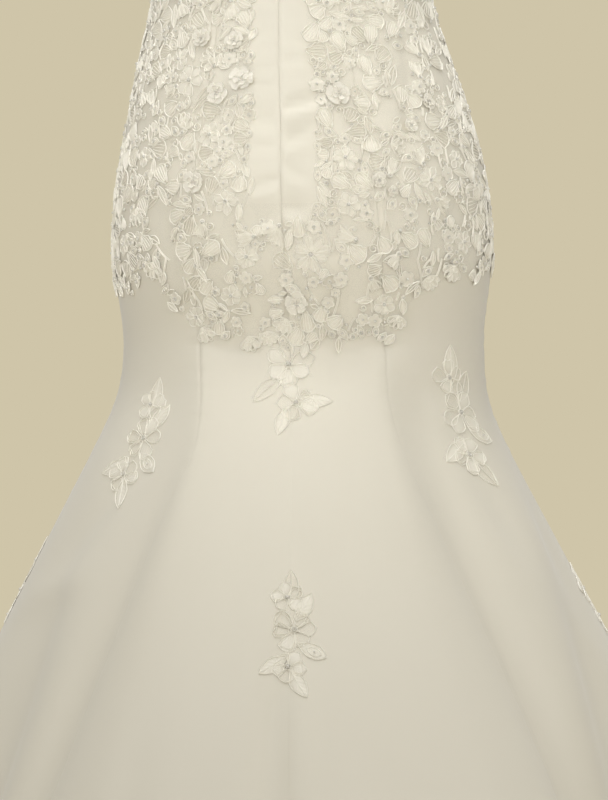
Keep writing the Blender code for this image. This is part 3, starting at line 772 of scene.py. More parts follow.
def twoSheets(outer, inner):
    # Points and faces of a thin shell between two sheets of the same rows
    rows, wide = outer.shape[:2]
    count = rows * wide
    a = (np.arange(rows - 1)[:, None] * wide + np.arange(wide - 1)[None, :]).ravel()
    faces = np.stack([a, a + wide, a + wide + 1, a + 1], axis=-1)
    outerFaces = faces.tolist()
    allFaces = outerFaces + (faces[:, ::-1] + count).tolist() + rimWalls(outerFaces, count)
    return np.concatenate([outer.reshape(-1, 3), inner.reshape(-1, 3)]), allFaces


def sizesOf(outer):
    # Width along the last row, length down the middle, and area
    width = float(np.linalg.norm(np.diff(outer[-1], axis=0), axis=-1).sum())
    length = float(np.linalg.norm(np.diff(outer[:, outer.shape[1] // 2], axis=0), axis=-1).sum())
    p, q, r = outer[:-1, :-1], outer[1:, :-1], outer[:-1, 1:]
    return width, length, float(np.linalg.norm(np.cross(q - p, r - p), axis=-1).sum())


def goreShell(name, first, last, across):
    # One gore between two columns of the grid, with its rims rounded and its seams drawn close
    above, below = rowPlaces()
    t = np.linspace(0, 1, across + 1)
    u = t - satin["seamCrowding"] * np.sin(2 * np.pi * t) / (2 * np.pi)
    columns = first + u * (last - first)
    share = np.concatenate([above, 0 * below])
    low = np.concatenate([0 * above, below])
    atSide = share * topOf(90.0) + low
    angle = angleOf(columns[None, :], atSide[:, None])
    height = share[:, None] * topOf(angle) + low[:, None]
    fromTop = topOf(angle) - height
    fromEnd = np.minimum(np.clip(fromTop, 0, None), height - form["hem"])
    d = np.clip(fromEnd / satin["edgeRound"], 0.0, 1.0)
    plump = np.maximum(np.sqrt(1 - (1 - d) ** 2), satin["edgeLeast"])
    half = satin["thickness"] / 2
    outer = onSatin(angle, height, -half + half * plump)
    inner = onSatin(angle, height, -half - half * plump)
    high = smooth(*satin["pressedFrom"], height[:, :1])
    for sheet in (outer, inner):
        for edge, nextOne, column in ((0, 1, first), (-1, -2, last)):
            inward = sheet[:, nextOne] - sheet[:, edge]
            inward /= np.linalg.norm(inward, axis=-1, keepdims=True)
            wide = satin["seamGap"] if column else satin["zipGap"]
            sheet[:, edge] += inward * (satin["pressedGap"] + (wide - satin["pressedGap"]) * high) / 2
    piece = newPiece(name + "_satin", *twoSheets(outer, inner), "satin", "satin")
    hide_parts(name)
    width, length, area = sizesOf(outer)
    print("gore", name, "hem", round(width, 3), "length", round(length, 3), "area", round(area, 3))


for row in satin["gores"][1:]:
    goreShell(*row)


# Outlines of the lace, in columns and rows
backLaceEdge = (
    ("angle", "height"),
    (-90, -0.300), (-72, -0.306), (-46, -0.290), (-37, -0.315), (-31, -0.338), (-17, -0.344), (0, -0.352),
    (15, -0.346), (34, -0.342), (41, -0.306), (53, -0.292), (77, -0.292), (90, -0.288),
)
frontLaceEdge = (
    ("angle", "height"),
    (90, -0.288), (112, -0.300), (135, -0.318), (158, -0.330), (180, -0.346), (202, -0.330), (225, -0.318),
    (248, -0.300), (270, -0.300),
)
laceCut = {
    "stripRight": 11.5,
    "stripLeft": -9.5,
    "stripEnd": -0.226,
    "topMargin": 0.22,
    "sideMargin": 0.010,
    "edgeAround": -0.32,
    "edgeScallop": 0.24,
    "edgePace": 2.4,
    "stripScallop": 0.34,
    "stripPace": 2.2,
    "gapsEach": 58,
    "gapWide": (0.30, 0.45),
    "gapTall": (0.18, 0.30),
    "gapSlant": (0.12, 0.24),
    "bloomWide": 0.80,
    "bloomTall": 0.40,
    "guardWide": 0.36,
    "guardTall": 0.28,
    "netLift": 0.00025,
    "netThickness": 0.0003,
    "netStep": 0.0078,
    "flatWidth": {"lace_back": 0.52, "lace_front": 0.50},
    "flatEase": 1.06,
}


def lowerEdge(edge, first, last):
    # The scalloped lower edge, in columns and rows
    columns = np.arange(first, last + 1)
    angles = angleOf(columns, laceCut["edgeAround"])
    rows = rowOf(angles, readTable(edge, "height", angles))
    rows[1:-1] += laceCut["edgeScallop"] * np.sin(columns[1:-1] * laceCut["edgePace"])
    return [[float(c), float(r)] for c, r in zip(columns, rows)]


def stripEdge(limit, top, base):
    # The scalloped edge beside the zip, from the strip's end up to the top
    found = []
    for row in [base] + list(range(math.floor(base), 0, -1)) + [top]:
        height = heightOf(row, limit)
        scallop = laceCut["stripScallop"] * math.sin(row * laceCut["stripPace"])
        found.append([float(columnOf(limit, height)) + scallop, float(row)])
    return found


def insideOutline(x, y, outline):
    # Which of many points lie inside a closed outline
    hit = np.zeros(np.shape(x), bool)
    for (x0, y0), (x1, y1) in zip(outline, outline[1:] + outline[:1]):
        if y0 != y1:
            crosses = ((y0 > y) != (y1 > y)) & (x < x0 + (y - y0) * (x1 - x0) / (y1 - y0))
            hit ^= crosses
    return hit


def ringAt(column, row, wide, tall, slant):
    # Six corners round a knot of the grid
    return [[column + wide, row], [column + slant, row + slant], [column, row + tall],
            [column - wide, row], [column - slant, row - slant], [column, row - tall]]


def allInside(corners, outline):
    corners = np.array(corners)
    return bool(insideOutline(corners[:, 0], corners[:, 1], outline).all())


def bloomKnots(outline, first, last):
    # The large flowers sit on every fourth knot of the odd rows, staggered
    found = []
    for row in range(1, lastRow, 2):
        for column in range(first + 1, last):
            guard = ringAt(column, row, laceCut["bloomWide"], laceCut["bloomTall"], laceCut["bloomTall"])
            if (column - row) % 4 == 0 and allInside(guard, outline):
                found.append((float(column), float(row)))
    return found


def laceGaps(seed, outline, first, last):
    # The largest of the gaps between the blooms, as rings of six corners
    chance = random.Random(seed)
    taken = bloomKnots(outline, first, last)
    found = []
    for row in range(1, lastRow):
        for column in range(first + 1, last):
            wide, tall, slant = (chance.uniform(*laceCut[size])
                                 for size in ("gapWide", "gapTall", "gapSlant"))
            if (column + row) % 2 or (column, row) in taken:
                continue
            guard = ringAt(column, row, wide + laceCut["guardWide"], tall + laceCut["guardTall"],
                           slant + laceCut["guardTall"])
            if allInside(guard, outline):
                found.append((wide * tall, ringAt(column, row, wide, tall, slant)))
    found.sort(key=lambda item: -item[0])
    return [gap for _, gap in found[:laceCut["gapsEach"]]]


def backOutline():
    side = grid["seamAt"][2] - laceCut["sideMargin"]
    stripRow = float(rowOf(0.0, laceCut["stripEnd"]))
    bottom = lowerEdge(backLaceEdge, -grid["seamAt"][2], grid["seamAt"][2])
    bottom[0][0] = -side
    bottom[-1][0] = side
    right = stripEdge(laceCut["stripRight"], laceCut["topMargin"], stripRow)
    left = stripEdge(laceCut["stripLeft"], laceCut["topMargin"], stripRow)
    return bottom + [[side, laceCut["topMargin"]]] + right[::-1] + left + [[-side, laceCut["topMargin"]]]


def frontOutline():
    first = grid["seamAt"][2]
    last = grid["around"] - first
    bottom = lowerEdge(frontLaceEdge, first, last)
    bottom[0][0] = first + laceCut["sideMargin"]
    bottom[-1][0] = last - laceCut["sideMargin"]
    return bottom + [[bottom[-1][0], laceCut["topMargin"]], [bottom[0][0], laceCut["topMargin"]]]


outlines = {"lace_back": backOutline(), "lace_front": frontOutline()}
spans = {"lace_back": (-grid["seamAt"][2], grid["seamAt"][2], 11),
         "lace_front": (grid["seamAt"][2], grid["around"] - grid["seamAt"][2], 23)}
gaps = {name: laceGaps(spans[name][2], outlines[name], *spans[name][:2]) for name in outlines}
knots = {name: bloomKnots(outlines[name], *spans[name][:2]) for name in outlines}
print("lace laid out:", {name: (len(knots[name]), len(gaps[name])) for name in outlines})


def scalesAt(angle, height):
    # Metres of satin to a degree round it, and to a metre down it
    across = gownPoint(angle + 0.5, height) - gownPoint(angle - 0.5, height)
    down = gownPoint(angle, height + 0.005) - gownPoint(angle, height - 0.005)
    return np.linalg.norm(across, axis=-1), np.linalg.norm(down, axis=-1) / 0.01


class Seat:
    # A spot on the satin with its own flat millimetre-true layout: x to the right, y up
    def __init__(self, angle, height, turn=0.0, scales=None):
        self.angle = float(angle)
        self.height = float(height)
        self.degrees = turn
        self.turn = math.radians(turn)
        self.scales = scales or tuple(float(v) for v in scalesAt(np.array(angle), np.array(height)))
        self.perDegree, self.slant = self.scales

    def turnedBy(self, degrees):
        return Seat(self.angle, self.height, self.degrees + degrees, self.scales)

    def movedBy(self, x, y):
        return Seat(*self.spread(x, y), self.degrees)

    def spread(self, x, y):
        right = x * math.cos(self.turn) - y * math.sin(self.turn)
        up = x * math.sin(self.turn) + y * math.cos(self.turn)
        return self.angle + right / self.perDegree, self.height + up / self.slant


def petalRing(seat, right, up, radius, count, turn):
    # The outline of a flower in the net, as a star on the grid
    i = np.arange(2 * count)
    reach = np.where(i % 2 == 0, radius, radius * 0.62)
    way = np.radians(turn + 180.0 * i / count)
    angle, height = seat.spread(right + reach * np.cos(way), up + reach * np.sin(way))
    return np.stack(gridOf(angle, height), axis=-1).tolist()


def leafRing(seat, right, up, length, width, turn):
    # The outline of a leaf in the net
    along = np.array([0.0, 0.25, 0.5, 0.75, 1.0, 0.75, 0.5, 0.25]) * length
    aside = np.array([0.0, 0.36, 0.5, 0.34, 0.0, -0.34, -0.5, -0.36]) * width
    way = math.radians(turn)
    x = right + along * math.cos(way) - aside * math.sin(way)
    y = up + along * math.sin(way) + aside * math.cos(way)
    return np.stack(gridOf(*seat.spread(x, y)), axis=-1).tolist()


def tulleSheet(name, shapes, holes, node):
    # The net that carries the lace, cut along its outlines and holes
    cell = np.array([grid["cellWidth"], grid["cellHeight"]])
    points = []
    edges = []
    for outline in shapes + holes:
        start = len(points)
        fine = []
        for p, q in zip(outline, outline[1:] + outline[:1]):
            p, q = np.array(p), np.array(q)
            parts = max(1, round(float(np.linalg.norm((q - p) * cell)) / laceCut["netStep"]))
            fine += [tuple((p + (q - p) * k / parts) * cell) for k in range(parts)]
        points += fine
        edges += [(start + i, start + (i + 1) % len(fine)) for i in range(len(fine))]
    flat = np.array(points)
    low, high = flat.min(0), flat.max(0)
    xs = np.arange(low[0], high[0], laceCut["netStep"])
    ys = np.arange(low[1], high[1], laceCut["netStep"])
    gx, gy = np.meshgrid(xs, ys)
    gx = gx + (np.arange(len(ys)) % 2)[:, None] * laceCut["netStep"] / 2
    lattice = np.stack([gx.ravel(), gy.ravel()], axis=-1)
    keep = np.zeros(len(lattice), bool)
    for outline in shapes:
        keep |= insideOutline(lattice[:, 0] / cell[0], lattice[:, 1] / cell[1], outline)
    points += [tuple(p) for p in lattice[keep]]
    verts, _, faces, _, _, _ = delaunay_2d_cdt([Vector(p) for p in points], edges, [], 0, 1e-7)
    flat = np.array([tuple(v) for v in verts]) / cell
    faces = [f for f in faces if len(f) == 3]
    middle = flat[np.array(faces)].mean(1)
    kept = np.zeros(len(faces), bool)
    for outline in shapes:
        kept |= insideOutline(middle[:, 0], middle[:, 1], outline)
    for outline in holes:
        kept &= ~insideOutline(middle[:, 0], middle[:, 1], outline)
    faces = np.array(faces)[kept]
    a, b, c = flat[faces[:, 0]], flat[faces[:, 1]], flat[faces[:, 2]]
    area = (b[:, 0] - a[:, 0]) * (c[:, 1] - a[:, 1]) - (b[:, 1] - a[:, 1]) * (c[:, 0] - a[:, 0])
    faces[area > 0] = faces[area > 0][:, ::-1]
    used, faces = np.unique(faces, return_inverse=True)
    faces = faces.reshape(-1, 3)
    angle, height = gridPlace(flat[used, 0], flat[used, 1])
    inner = onSatin(angle, height, laceCut["netLift"])
    outer = onSatin(angle, height, laceCut["netLift"] + laceCut["netThickness"])
    outerFaces = faces.tolist()
    allFaces = outerFaces + (faces[:, ::-1] + len(used)).tolist() + rimWalls(outerFaces, len(used))
    piece = newPiece(name, np.concatenate([outer, inner]), allFaces, "net", "lace")
    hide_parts(node)
    p, q, r = outer[faces[:, 0]], outer[faces[:, 1]], outer[faces[:, 2]]
    area = float(np.linalg.norm(np.cross(q - p, r - p), axis=-1).sum() / 2)
    return piece, area, outer


# The drop of flowers and leaves under the lace's point
dropAngle = -0.5
dropFlowers = (("height", "right", "radius", "petals", "turn"),
               (-0.366, 0.000, 0.025, 6, 30), (-0.398, 0.006, 0.020, 5, 40))
dropLeaves = (("height", "right", "length", "width", "turn"),
              (-0.378, -0.006, 0.034, 0.014, 215), (-0.394, 0.010, 0.028, 0.012, 345),
              (-0.402, -0.001, 0.028, 0.012, 245))


def dropShapes():
    return ([petalRing(Seat(dropAngle, height), right, 0.0, radius, count, turn)
             for height, right, radius, count, turn in dropFlowers[1:]]
            + [leafRing(Seat(dropAngle, height), right, 0.0, length, width, turn)
               for height, right, length, width, turn in dropLeaves[1:]])


# Shapes of the lace, each drawn flat and then laid on the satin
thread = {
    "cord": 0.00058,
    "fineCord": 0.00036,
    "ground": 0.00036,
    "dome": 0.00056,
    "underside": 0.00012,
    "edgeLift": 0.00026,
    "pile": 0.0005,
    "lowPile": 0.0012,
    "lowPileFrom": (-0.22, -0.30),
}
# Sizes of beads and sequins, by where they are sewn
sewnOn = {
    "heartSequin": 0.0020,
    "heartBead": 0.00080,
    "heartPearl": 0.0013,
    "organzaBead": 0.0008,
    "budSequin": 0.0019,
    "budBead": 0.0010,
    "curlBead": 0.0009,
    "flowerSequin": (0.0017, 0.0021),
    "flowerBead": (0.0010, 0.0014),
    "looseSequin": (0.0017, 0.0022),
    "looseBead": (0.0010, 0.0017),
    "sequinCup": ((1.0, 0.42), (0.76, 0.74), (0.42, 0.36), (0.60, 0.10)),
}
widthShapes = {
    "round": ((0, 0.16), (0.25, 0.56), (0.5, 0.88), (0.74, 1.0), (0.9, 0.84), (1.0, 0.42)),
    "pointed": ((0, 0.14), (0.3, 0.66), (0.58, 1.0), (0.82, 0.70), (1.0, 0.05)),
    "leaf": ((0, 0.07), (0.2, 0.62), (0.45, 1.0), (0.7, 0.80), (0.9, 0.36), (1.0, 0.04)),
    "bud": ((0, 0.06), (0.15, 0.46), (0.4, 0.95), (0.65, 1.0), (0.85, 0.62), (1.0, 0.14)),
}
widthTables = {name: (("along", "width"),) + rows for name, rows in widthShapes.items()}


class Blade:
    # A petal or leaf in its own flat layout: t runs from its root to its tip, s from side to side
    def __init__(self, length, width, kind, bend=0.0, root=0.0, bulge=0.0, ruffle=0.0):
        self.length = length
        self.width = width
        self.table = widthTables[kind]
        self.bend = bend
        self.root = root
        self.bulge = bulge
        self.ruffle = ruffle
        self.blunt = kind == "round"
        self.steps = 5 if length < 0.009 else 6 if length < 0.016 else 8

    def at(self, t, s):
        t, s = np.broadcast_arrays(np.asarray(t, float), np.asarray(s, float))
        half = readTable(self.table, "width", t) * self.width / 2 * (1 + self.ruffle * np.sin(18.0 * t + s))
        slope = 2 * self.bend * t
        size = np.sqrt(1 + slope ** 2)
        tip = self.bulge * (1 - s ** 2) * t ** 6
        x = self.root + self.length * (t + tip) - s * half * slope / size
        y = self.length * self.bend * t ** 2 + s * half / size
        return np.stack([x, y], axis=-1)


def sidesOf(rings, sides, closed):
    # Faces of a tube of so many rings, whose end points follow its rings
    i = np.arange(rings if closed else rings - 1)[:, None] * sides
    k = np.arange(sides)[None, :]
    nextRing = (i + sides) % (rings * sides)
    after = (k + 1) % sides
    quads = np.stack([i + k, i + after, nextRing + after, nextRing + k], axis=-1).reshape(-1, 4).tolist()
    if closed:
        return quads
    start, end = rings * sides, rings * sides + 1
    last = (rings - 1) * sides
    ends = [(start, (j + 1) % sides, j) for j in range(sides)]
    ends += [(end, last + j, last + (j + 1) % sides) for j in range(sides)]
    return quads + ends


tubeFaces = {}
sphereFaces = {}


class LaceWork:
    # Everything worked on one net, kept as angle, height and lift until it is laid on the satin
    def __init__(self):
        self.points = {}
        self.faces = {}
        self.count = {}
        self.base = 0.0

    def put(self, kind, seat, x, y, lift, faces, u=0.0, v=0.0):
        # Points in a seat's own layout, with their place on their petal
        angle, height = seat.spread(x, y)
        start = self.count.get(kind, 0)
        self.points.setdefault(kind, []).append(
            np.stack([angle, height, self.base + lift + 0 * angle, u + 0 * angle, v + 0 * angle], axis=-1))
        self.faces.setdefault(kind, []).extend([[start + i for i in face] for face in faces])
        self.count[kind] = start + len(angle)

    def cord(self, seat, path, radius, lift, sides=3, closed=False, kind="cord"):
        # A tube along a path, with pointed ends unless it is closed
        path = np.asarray(path, float)
        rings = len(path)
        if closed:
            ahead, behind = np.roll(path, -1, axis=0), np.roll(path, 1, axis=0)
        else:
            ahead, behind = np.vstack([path[1:], path[-1:]]), np.vstack([path[:1], path[:-1]])
        way = ahead - behind
        way /= np.maximum(np.linalg.norm(way, axis=1, keepdims=True), 1e-9)
        phi = np.pi / 2 + 2 * np.pi * np.arange(sides) / sides
        wide = np.cos(phi)[None, :] * radius
        x = path[:, :1] - way[:, 1:] * wide
        y = path[:, 1:] + way[:, :1] * wide
        z = lift + np.sin(phi)[None, :] * radius + 0 * x
        x, y, z = x.ravel(), y.ravel(), z.ravel()
        if not closed:
            ends = np.vstack([path[0] - way[0] * radius * 0.7, path[-1] + way[-1] * radius * 0.7])
            x, y = np.append(x, ends[:, 0]), np.append(y, ends[:, 1])
            z = np.append(z, [lift, lift])
        key = (rings, sides, closed)
        if key not in tubeFaces:
            tubeFaces[key] = sidesOf(rings, sides, closed)
        self.put(kind, seat, x, y, z, tubeFaces[key])

    def fill(self, seat, blade, dome=None, kind="petal", rise=None, layer=0.0):
        # A domed patch over the whole blade; rise lifts it towards its tip
        steps = blade.steps - 1
        dome = thread["dome"] if dome is None else dome
        t = np.linspace(0, 1, steps + 1)[:, None]
        s = np.array([-1.0, -0.42, 0.42, 1.0])[None, :]
        xy = blade.at(t, s)
        ground = thread["ground"] + layer
        up = np.zeros(xy.shape[:2]) if rise is None else rise(t) * (0.82 + 0.18 * s ** 2)
        crown = np.array([0.0, 1.0, 1.0, 0.0])[None, :] * dome * np.sin(np.pi * np.clip(t, 0.06, 0.94))
        top = ground + up + crown
        bottom = ground + up[:, ::3] - thread["underside"]
        n = (steps + 1) * 4
        i = (np.arange(steps)[:, None] * 4 + np.arange(3)[None, :]).ravel()
        faces = np.stack([i, i + 4, i + 5, i + 1], axis=-1).tolist()
        for k in range(steps):
            a, b = n + 2 * k, n + 2 * k + 2
            faces.append([a, a + 1, b + 1, b])
            faces.append([4 * k, a, b, 4 * k + 4])
            faces.append([4 * k + 3, 4 * k + 7, b + 1, a + 1])
        faces.append([0, 1, 2, 3, n + 1, n])
        tip = 4 * steps
        faces.append([tip + 3, tip + 2, tip + 1, tip, n + 2 * steps, n + 2 * steps + 1])
        x = np.concatenate([xy[..., 0].ravel(), xy[:, ::3, 0].ravel()])
        y = np.concatenate([xy[..., 1].ravel(), xy[:, ::3, 1].ravel()])
        z = np.concatenate([top.ravel(), bottom.ravel()])
        # Places across and along the blade: they set its ribs and its painted shade at the sides and root
        across = s + 0 * t
        along = t + 0 * s
        u = np.concatenate([across.ravel(), across[:, ::3].ravel()])
        v = np.concatenate([along.ravel(), along[:, ::3].ravel()])
        self.put(kind, seat, x, y, z, [face[::-1] for face in faces], u, v)

    def patch(self, seat, rim, ring, ground, dome):
        # A closed patch from its rim over a raised ring to a sunk middle
        n = len(rim)
        middle = ring.mean(0)
        xy = np.vstack([rim, ring, middle[None]])
        z = np.concatenate([np.full(n, ground), np.full(n, ground + dome), [ground + dome * 0.4]])
        faces = [list(range(n - 1, -1, -1))]
        for k in range(n):
            after = (k + 1) % n
            faces.append([k, after, n + after, n + k])
            faces.append([n + k, n + after, 2 * n])
        # These places also set the petal material's painted shade: slight at the rim and the raised ring,
        # strongest at the sunk middle
        u = np.concatenate([np.ones(n) * 0.6, np.zeros(n + 1)])
        v = np.concatenate([np.full(n, 0.75), np.full(n, 0.4), [0.0]])
        self.put("petal", seat, xy[:, 0], xy[:, 1], z, faces, u, v)

    def outlineOf(self, seat, blade, radius, lift, inset=1.0):
        # A cord along a blade's edge, or a closed one inside it
        begin, end = (0.0, 1.0) if inset == 1.0 else (0.16, 0.86)
        steps = blade.steps if inset == 1.0 else blade.steps - 1
        t = np.linspace(begin, end, steps)
        path = [blade.at(t, -inset)]
        if blade.blunt:
            path.append(blade.at(end, np.array([-0.45, 0.45]) * inset))
        path.append(blade.at(t[::-1][(0 if blade.blunt else 1):], inset))
        inner = inset != 1.0
        self.cord(seat, np.vstack(path), radius, lift, closed=inner, kind="vein" if inner else "cord")

    def bead(self, seat, x, y, radius, lift, kind="bead", segments=6, rings=4):
        key = (segments, rings)
        if key not in sphereFaces:
            faces = []
            for r in range(rings - 2):
                for k in range(segments):
                    a, b = r * segments + k, r * segments + (k + 1) % segments
                    faces.append([a, b, b + segments, a + segments])
            low, high = segments * (rings - 1), segments * (rings - 1) + 1
            last = segments * (rings - 2)
            faces += [[low, (k + 1) % segments, k] for k in range(segments)]
            faces += [[high, last + k, last + (k + 1) % segments] for k in range(segments)]
            sphereFaces[key] = faces
        tilt = np.pi * (np.arange(1, rings) / rings - 0.5)
        spin = 2 * np.pi * np.arange(segments) / segments
        px = np.append((np.cos(tilt)[:, None] * np.cos(spin)[None, :]).ravel(), [0, 0])
        py = np.append((np.cos(tilt)[:, None] * np.sin(spin)[None, :]).ravel(), [0, 0])
        pz = np.append((np.sin(tilt)[:, None] + 0 * spin[None, :]).ravel(), [-1, 1])
        z = lift + radius * 0.8 + pz * radius
        self.put(kind, seat, x + px * radius, y + py * radius, z, sphereFaces[key])

    def sequin(self, seat, x, y, radius, lift, segments=8):
        # A cupped ring with a crystal sunk in it; the crystal's darker colour is partly painted shade of
        # the deep centre
        spin = 2 * np.pi * np.arange(segments) / segments
        rings = sewnOn["sequinCup"]
        count = len(rings)
        px = np.concatenate([np.cos(spin) * radius * r for r, _ in rings])
        py = np.concatenate([np.sin(spin) * radius * r for r, _ in rings])
        pz = np.concatenate([0 * spin + radius * z for _, z in rings])
        faces = []
        for r in range(count):
            for k in range(segments):
                after, inner = (k + 1) % segments, (r + 1) % count * segments
                faces.append([r * segments + k, r * segments + after, inner + after, inner + k])
        self.put("sequin", seat, x + px, y + py, lift + pz, faces)
        self.bead(seat, x, y, radius * 0.36, lift - radius * 0.08, kind="crystal", segments=5, rings=3)

    def pieces(self, name, kinds):
        made = []
        for kind, (ending, material, slot) in kinds.items():
            if kind in self.points:
                where = np.concatenate(self.points[kind])
                laid = onSatin(*where[:, :3].T)
                piece = newPiece(name + ending, laid, self.faces[kind], material, slot, layout=where[:, 3:])
                made.append(piece)
        return made


def petalWork(work, seat, blade, layer=0.0, double=True, kind="petal", filled=True):
    # A petal with its corded edge, filled or open, and a second line inside it
    if filled:
        work.fill(seat, blade, layer=layer, kind=kind)
    lift = thread["ground"] + thread["edgeLift"] + layer
    work.outlineOf(seat, blade, thread["cord"], lift)
    if double:
        work.outlineOf(seat, blade, thread["fineCord"], lift + 0.00028, inset=0.64)


def heart(work, seat, radius, chance):
    # The corded ring in the middle of a flower, with its beads
    ring = [(radius * math.cos(k * math.pi / 4), radius * math.sin(k * math.pi / 4)) for k in range(8)]
    work.cord(seat, np.array(ring), thread["cord"], thread["ground"] + 0.0007, closed=True)
    if chance.random() < 0.5:
        work.sequin(seat, 0.0, 0.0, max(radius * 0.72, sewnOn["heartSequin"]), thread["ground"] + 0.0004)
        return
    for x, y in ring[::2]:
        work.bead(seat, x * 0.5, y * 0.5, sewnOn["heartBead"], thread["ground"] + 0.0005)
    work.bead(seat, 0.0, 0.0, sewnOn["heartPearl"], thread["ground"] + 0.0007)


def bloom(work, seat, radius, count, kind, chance, filled=1.0):
    # A large flat flower with uneven petals, of which a share is filled
    blunt = kind == "round"
    width = 2 * 0.69 * radius * math.sin(math.pi / count) * 0.98
    for i in range(count):
        part = seat.turnedBy(360.0 * i / count + chance.uniform(-9, 9))
        reach = radius * chance.uniform(0.64, 0.90)
        wide, bend = width * chance.uniform(0.82, 1.08), chance.uniform(-0.24, 0.24)
        bulge = chance.choice((0.06, -0.10, 0.05)) if blunt else 0.0
        blade = Blade(reach, wide, kind, bend, radius * 0.12, bulge, 0.07 if blunt else 0.0)
        petalWork(work, part, blade, layer=0.00016 * (i % 2), double=chance.random() < 0.45,
                  filled=chance.random() < filled)
    heart(work, seat, min(radius * 0.16, 0.0028), chance)


organza = {
    "layers": ((5, 1.0, 0.0016), (4, 0.60, 0.0026)),
    "dome": 0.00055,
    "lift": 0.0008,
    "layer": 0.0006,
    "rim": 0.00045,
    "rimLift": 0.00115,
    "beadLift": 0.0020,
}


def standingFlower(work, seat, radius, chance):
    # A small flower of raised organza petals, pinned by beads
    for layer, (count, share, lifted) in enumerate(organza["layers"]):
        for i in range(count):
            part = seat.turnedBy(360.0 * (i + 0.5 * layer) / count + chance.uniform(-9, 9))
            reach = radius * share * chance.uniform(0.84, 1.10)
            wide, bend = reach * chance.uniform(0.86, 0.98), chance.uniform(-0.10, 0.10)
            bulge = chance.choice((0.08, -0.12, -0.10))
            blade = Blade(reach * 0.88, wide, "round", bend, reach * 0.08, bulge, 0.10)
            tall = lifted * chance.uniform(0.6, 1.3)
            raised = organza["layer"] * layer
            work.fill(part, blade, dome=organza["dome"], kind="flower",
                      rise=lambda t, tall=tall: tall * t ** 1.5, layer=organza["lift"] + raised)
            out = np.linspace(0.30, 1.0, 6)
            back = np.linspace(1.0, 0.30, 6)
            rim = np.vstack([blade.at(out, -0.98), blade.at(1.0, np.array([-0.4, 0.4])),
                             blade.at(back, 0.98)])
            work.cord(part, rim, organza["rim"], organza["rimLift"] + raised + tall * 0.80)
    for i in range(5):
        way = math.pi * i / 2.5
        x, y = radius * 0.20 * math.cos(way), radius * 0.20 * math.sin(way)
        work.bead(seat, x, y, sewnOn["organzaBead"], organza["beadLift"])


def leaf(work, seat, length, width, bend, chance):
    blade = Blade(length, width, "leaf", bend)
    petalWork(work, seat, blade, kind="leaf", double=False, filled=chance.random() < 0.7)
    if length > 0.010:
        t = np.linspace(0.02, 0.94, 5)
        lift = thread["ground"] + thread["dome"]
        work.cord(seat, blade.at(t, 0.0), thread["fineCord"] * 1.15, lift, kind="vein")


def bud(work, seat, length, width, bend, chance):
    # A curled bud: a filled drop with a smaller ring inside it
    blade = Blade(length, width, "bud", bend)
    work.fill(seat, blade, dome=0.0004)
    work.outlineOf(seat, blade, thread["cord"], thread["ground"] + 0.0003)
    way = np.linspace(0, 2 * np.pi, 9)[:-1]
    ring = blade.at(0.58 + 0.24 * np.cos(way), 0.56 * np.sin(way))
    work.cord(seat, ring, thread["fineCord"] * 1.3, thread["ground"] + 0.0006, closed=True)
    spot = blade.at(0.58, 0.0)
    if chance.random() < 0.45:
        work.sequin(seat, float(spot[0]), float(spot[1]), sewnOn["budSequin"], 0.0008)
    else:
        work.bead(seat, float(spot[0]), float(spot[1]), sewnOn["budBead"], 0.0008)


def tulip(work, seat, length, width, bend, chance):
    # A flower seen from its side: two outer petals that curve away and one between them
    for side in (-1, 1):
        blade = Blade(length * chance.uniform(0.84, 0.96), width * 0.42, "pointed", side * 0.20)
        petalWork(work, seat.turnedBy(side * 13.0), blade, double=True, filled=chance.random() < 0.6)
    middle = Blade(length * 0.82, width * 0.44, "round", bend * 0.3, 0.0, -0.10, 0.08)
    petalWork(work, seat, middle, layer=0.00022)
    heart(work, seat, 0.0022, chance)


def fan(work, seat, length, width, bend, chance):
    # A ribbed shell with a scalloped edge
    count = 5
    for i in range(count):
        part = seat.turnedBy((i - 2) * 25.0)
        blade = Blade(length * (1 - 0.05 * abs(i - 2)), length * 0.44, "round", 0.0, 0.0, 0.04, 0.06)
        odd = i % 2
        petalWork(work, part, blade, layer=0.00014 * odd, double=not odd, filled=chance.random() < 0.6)
    way = np.radians(np.linspace(-58, 58, 9))
    arc = np.stack([length * 0.40 * np.cos(way), length * 0.40 * np.sin(way)], axis=-1)
    work.cord(seat, arc, thread["cord"], thread["ground"] + 0.00075)


def shell(work, seat, length, width, bend, chance):
    # A ruffled lobe with cords that fan out to its rim
    blade = Blade(length, width, "round", bend, 0.0, 0.05, 0.09)
    if chance.random() < 0.6:
        work.fill(seat, blade, dome=0.0006)
    work.outlineOf(seat, blade, thread["cord"] * 1.1, thread["ground"] + 0.0004)
    for side in (-0.62, -0.22, 0.22, 0.62):
        t = np.linspace(0.12, 0.88, 4)
        work.cord(seat, blade.at(t, side), thread["fineCord"], thread["ground"] + 0.0007, kind="vein")


def curl(work, seat, length, width, bend, chance):
    # A cord wound round a bead
    way = np.linspace(0, 2.5 * np.pi, 11)
    reach = length / 2 * (1 - 0.62 * way / way[-1])
    hand = 1 if bend > 0 else -1
    path = np.stack([length / 2 - reach * np.cos(way), hand * reach * np.sin(way)], axis=-1)
    work.cord(seat, path, thread["cord"], thread["ground"] + 0.0003)
    work.bead(seat, length / 2, 0.0, sewnOn["curlBead"], thread["ground"])


def stem(work, seat, length, width, bend, chance):
    # Two cords side by side
    t = np.linspace(0, 1, 6)
    for side in (-1, 1):
        path = np.stack([length * t, length * bend * t ** 2 + side * 0.00058], axis=-1)
        work.cord(seat, path, thread["fineCord"] * 1.35, thread["ground"] + 0.0002, kind="vein")


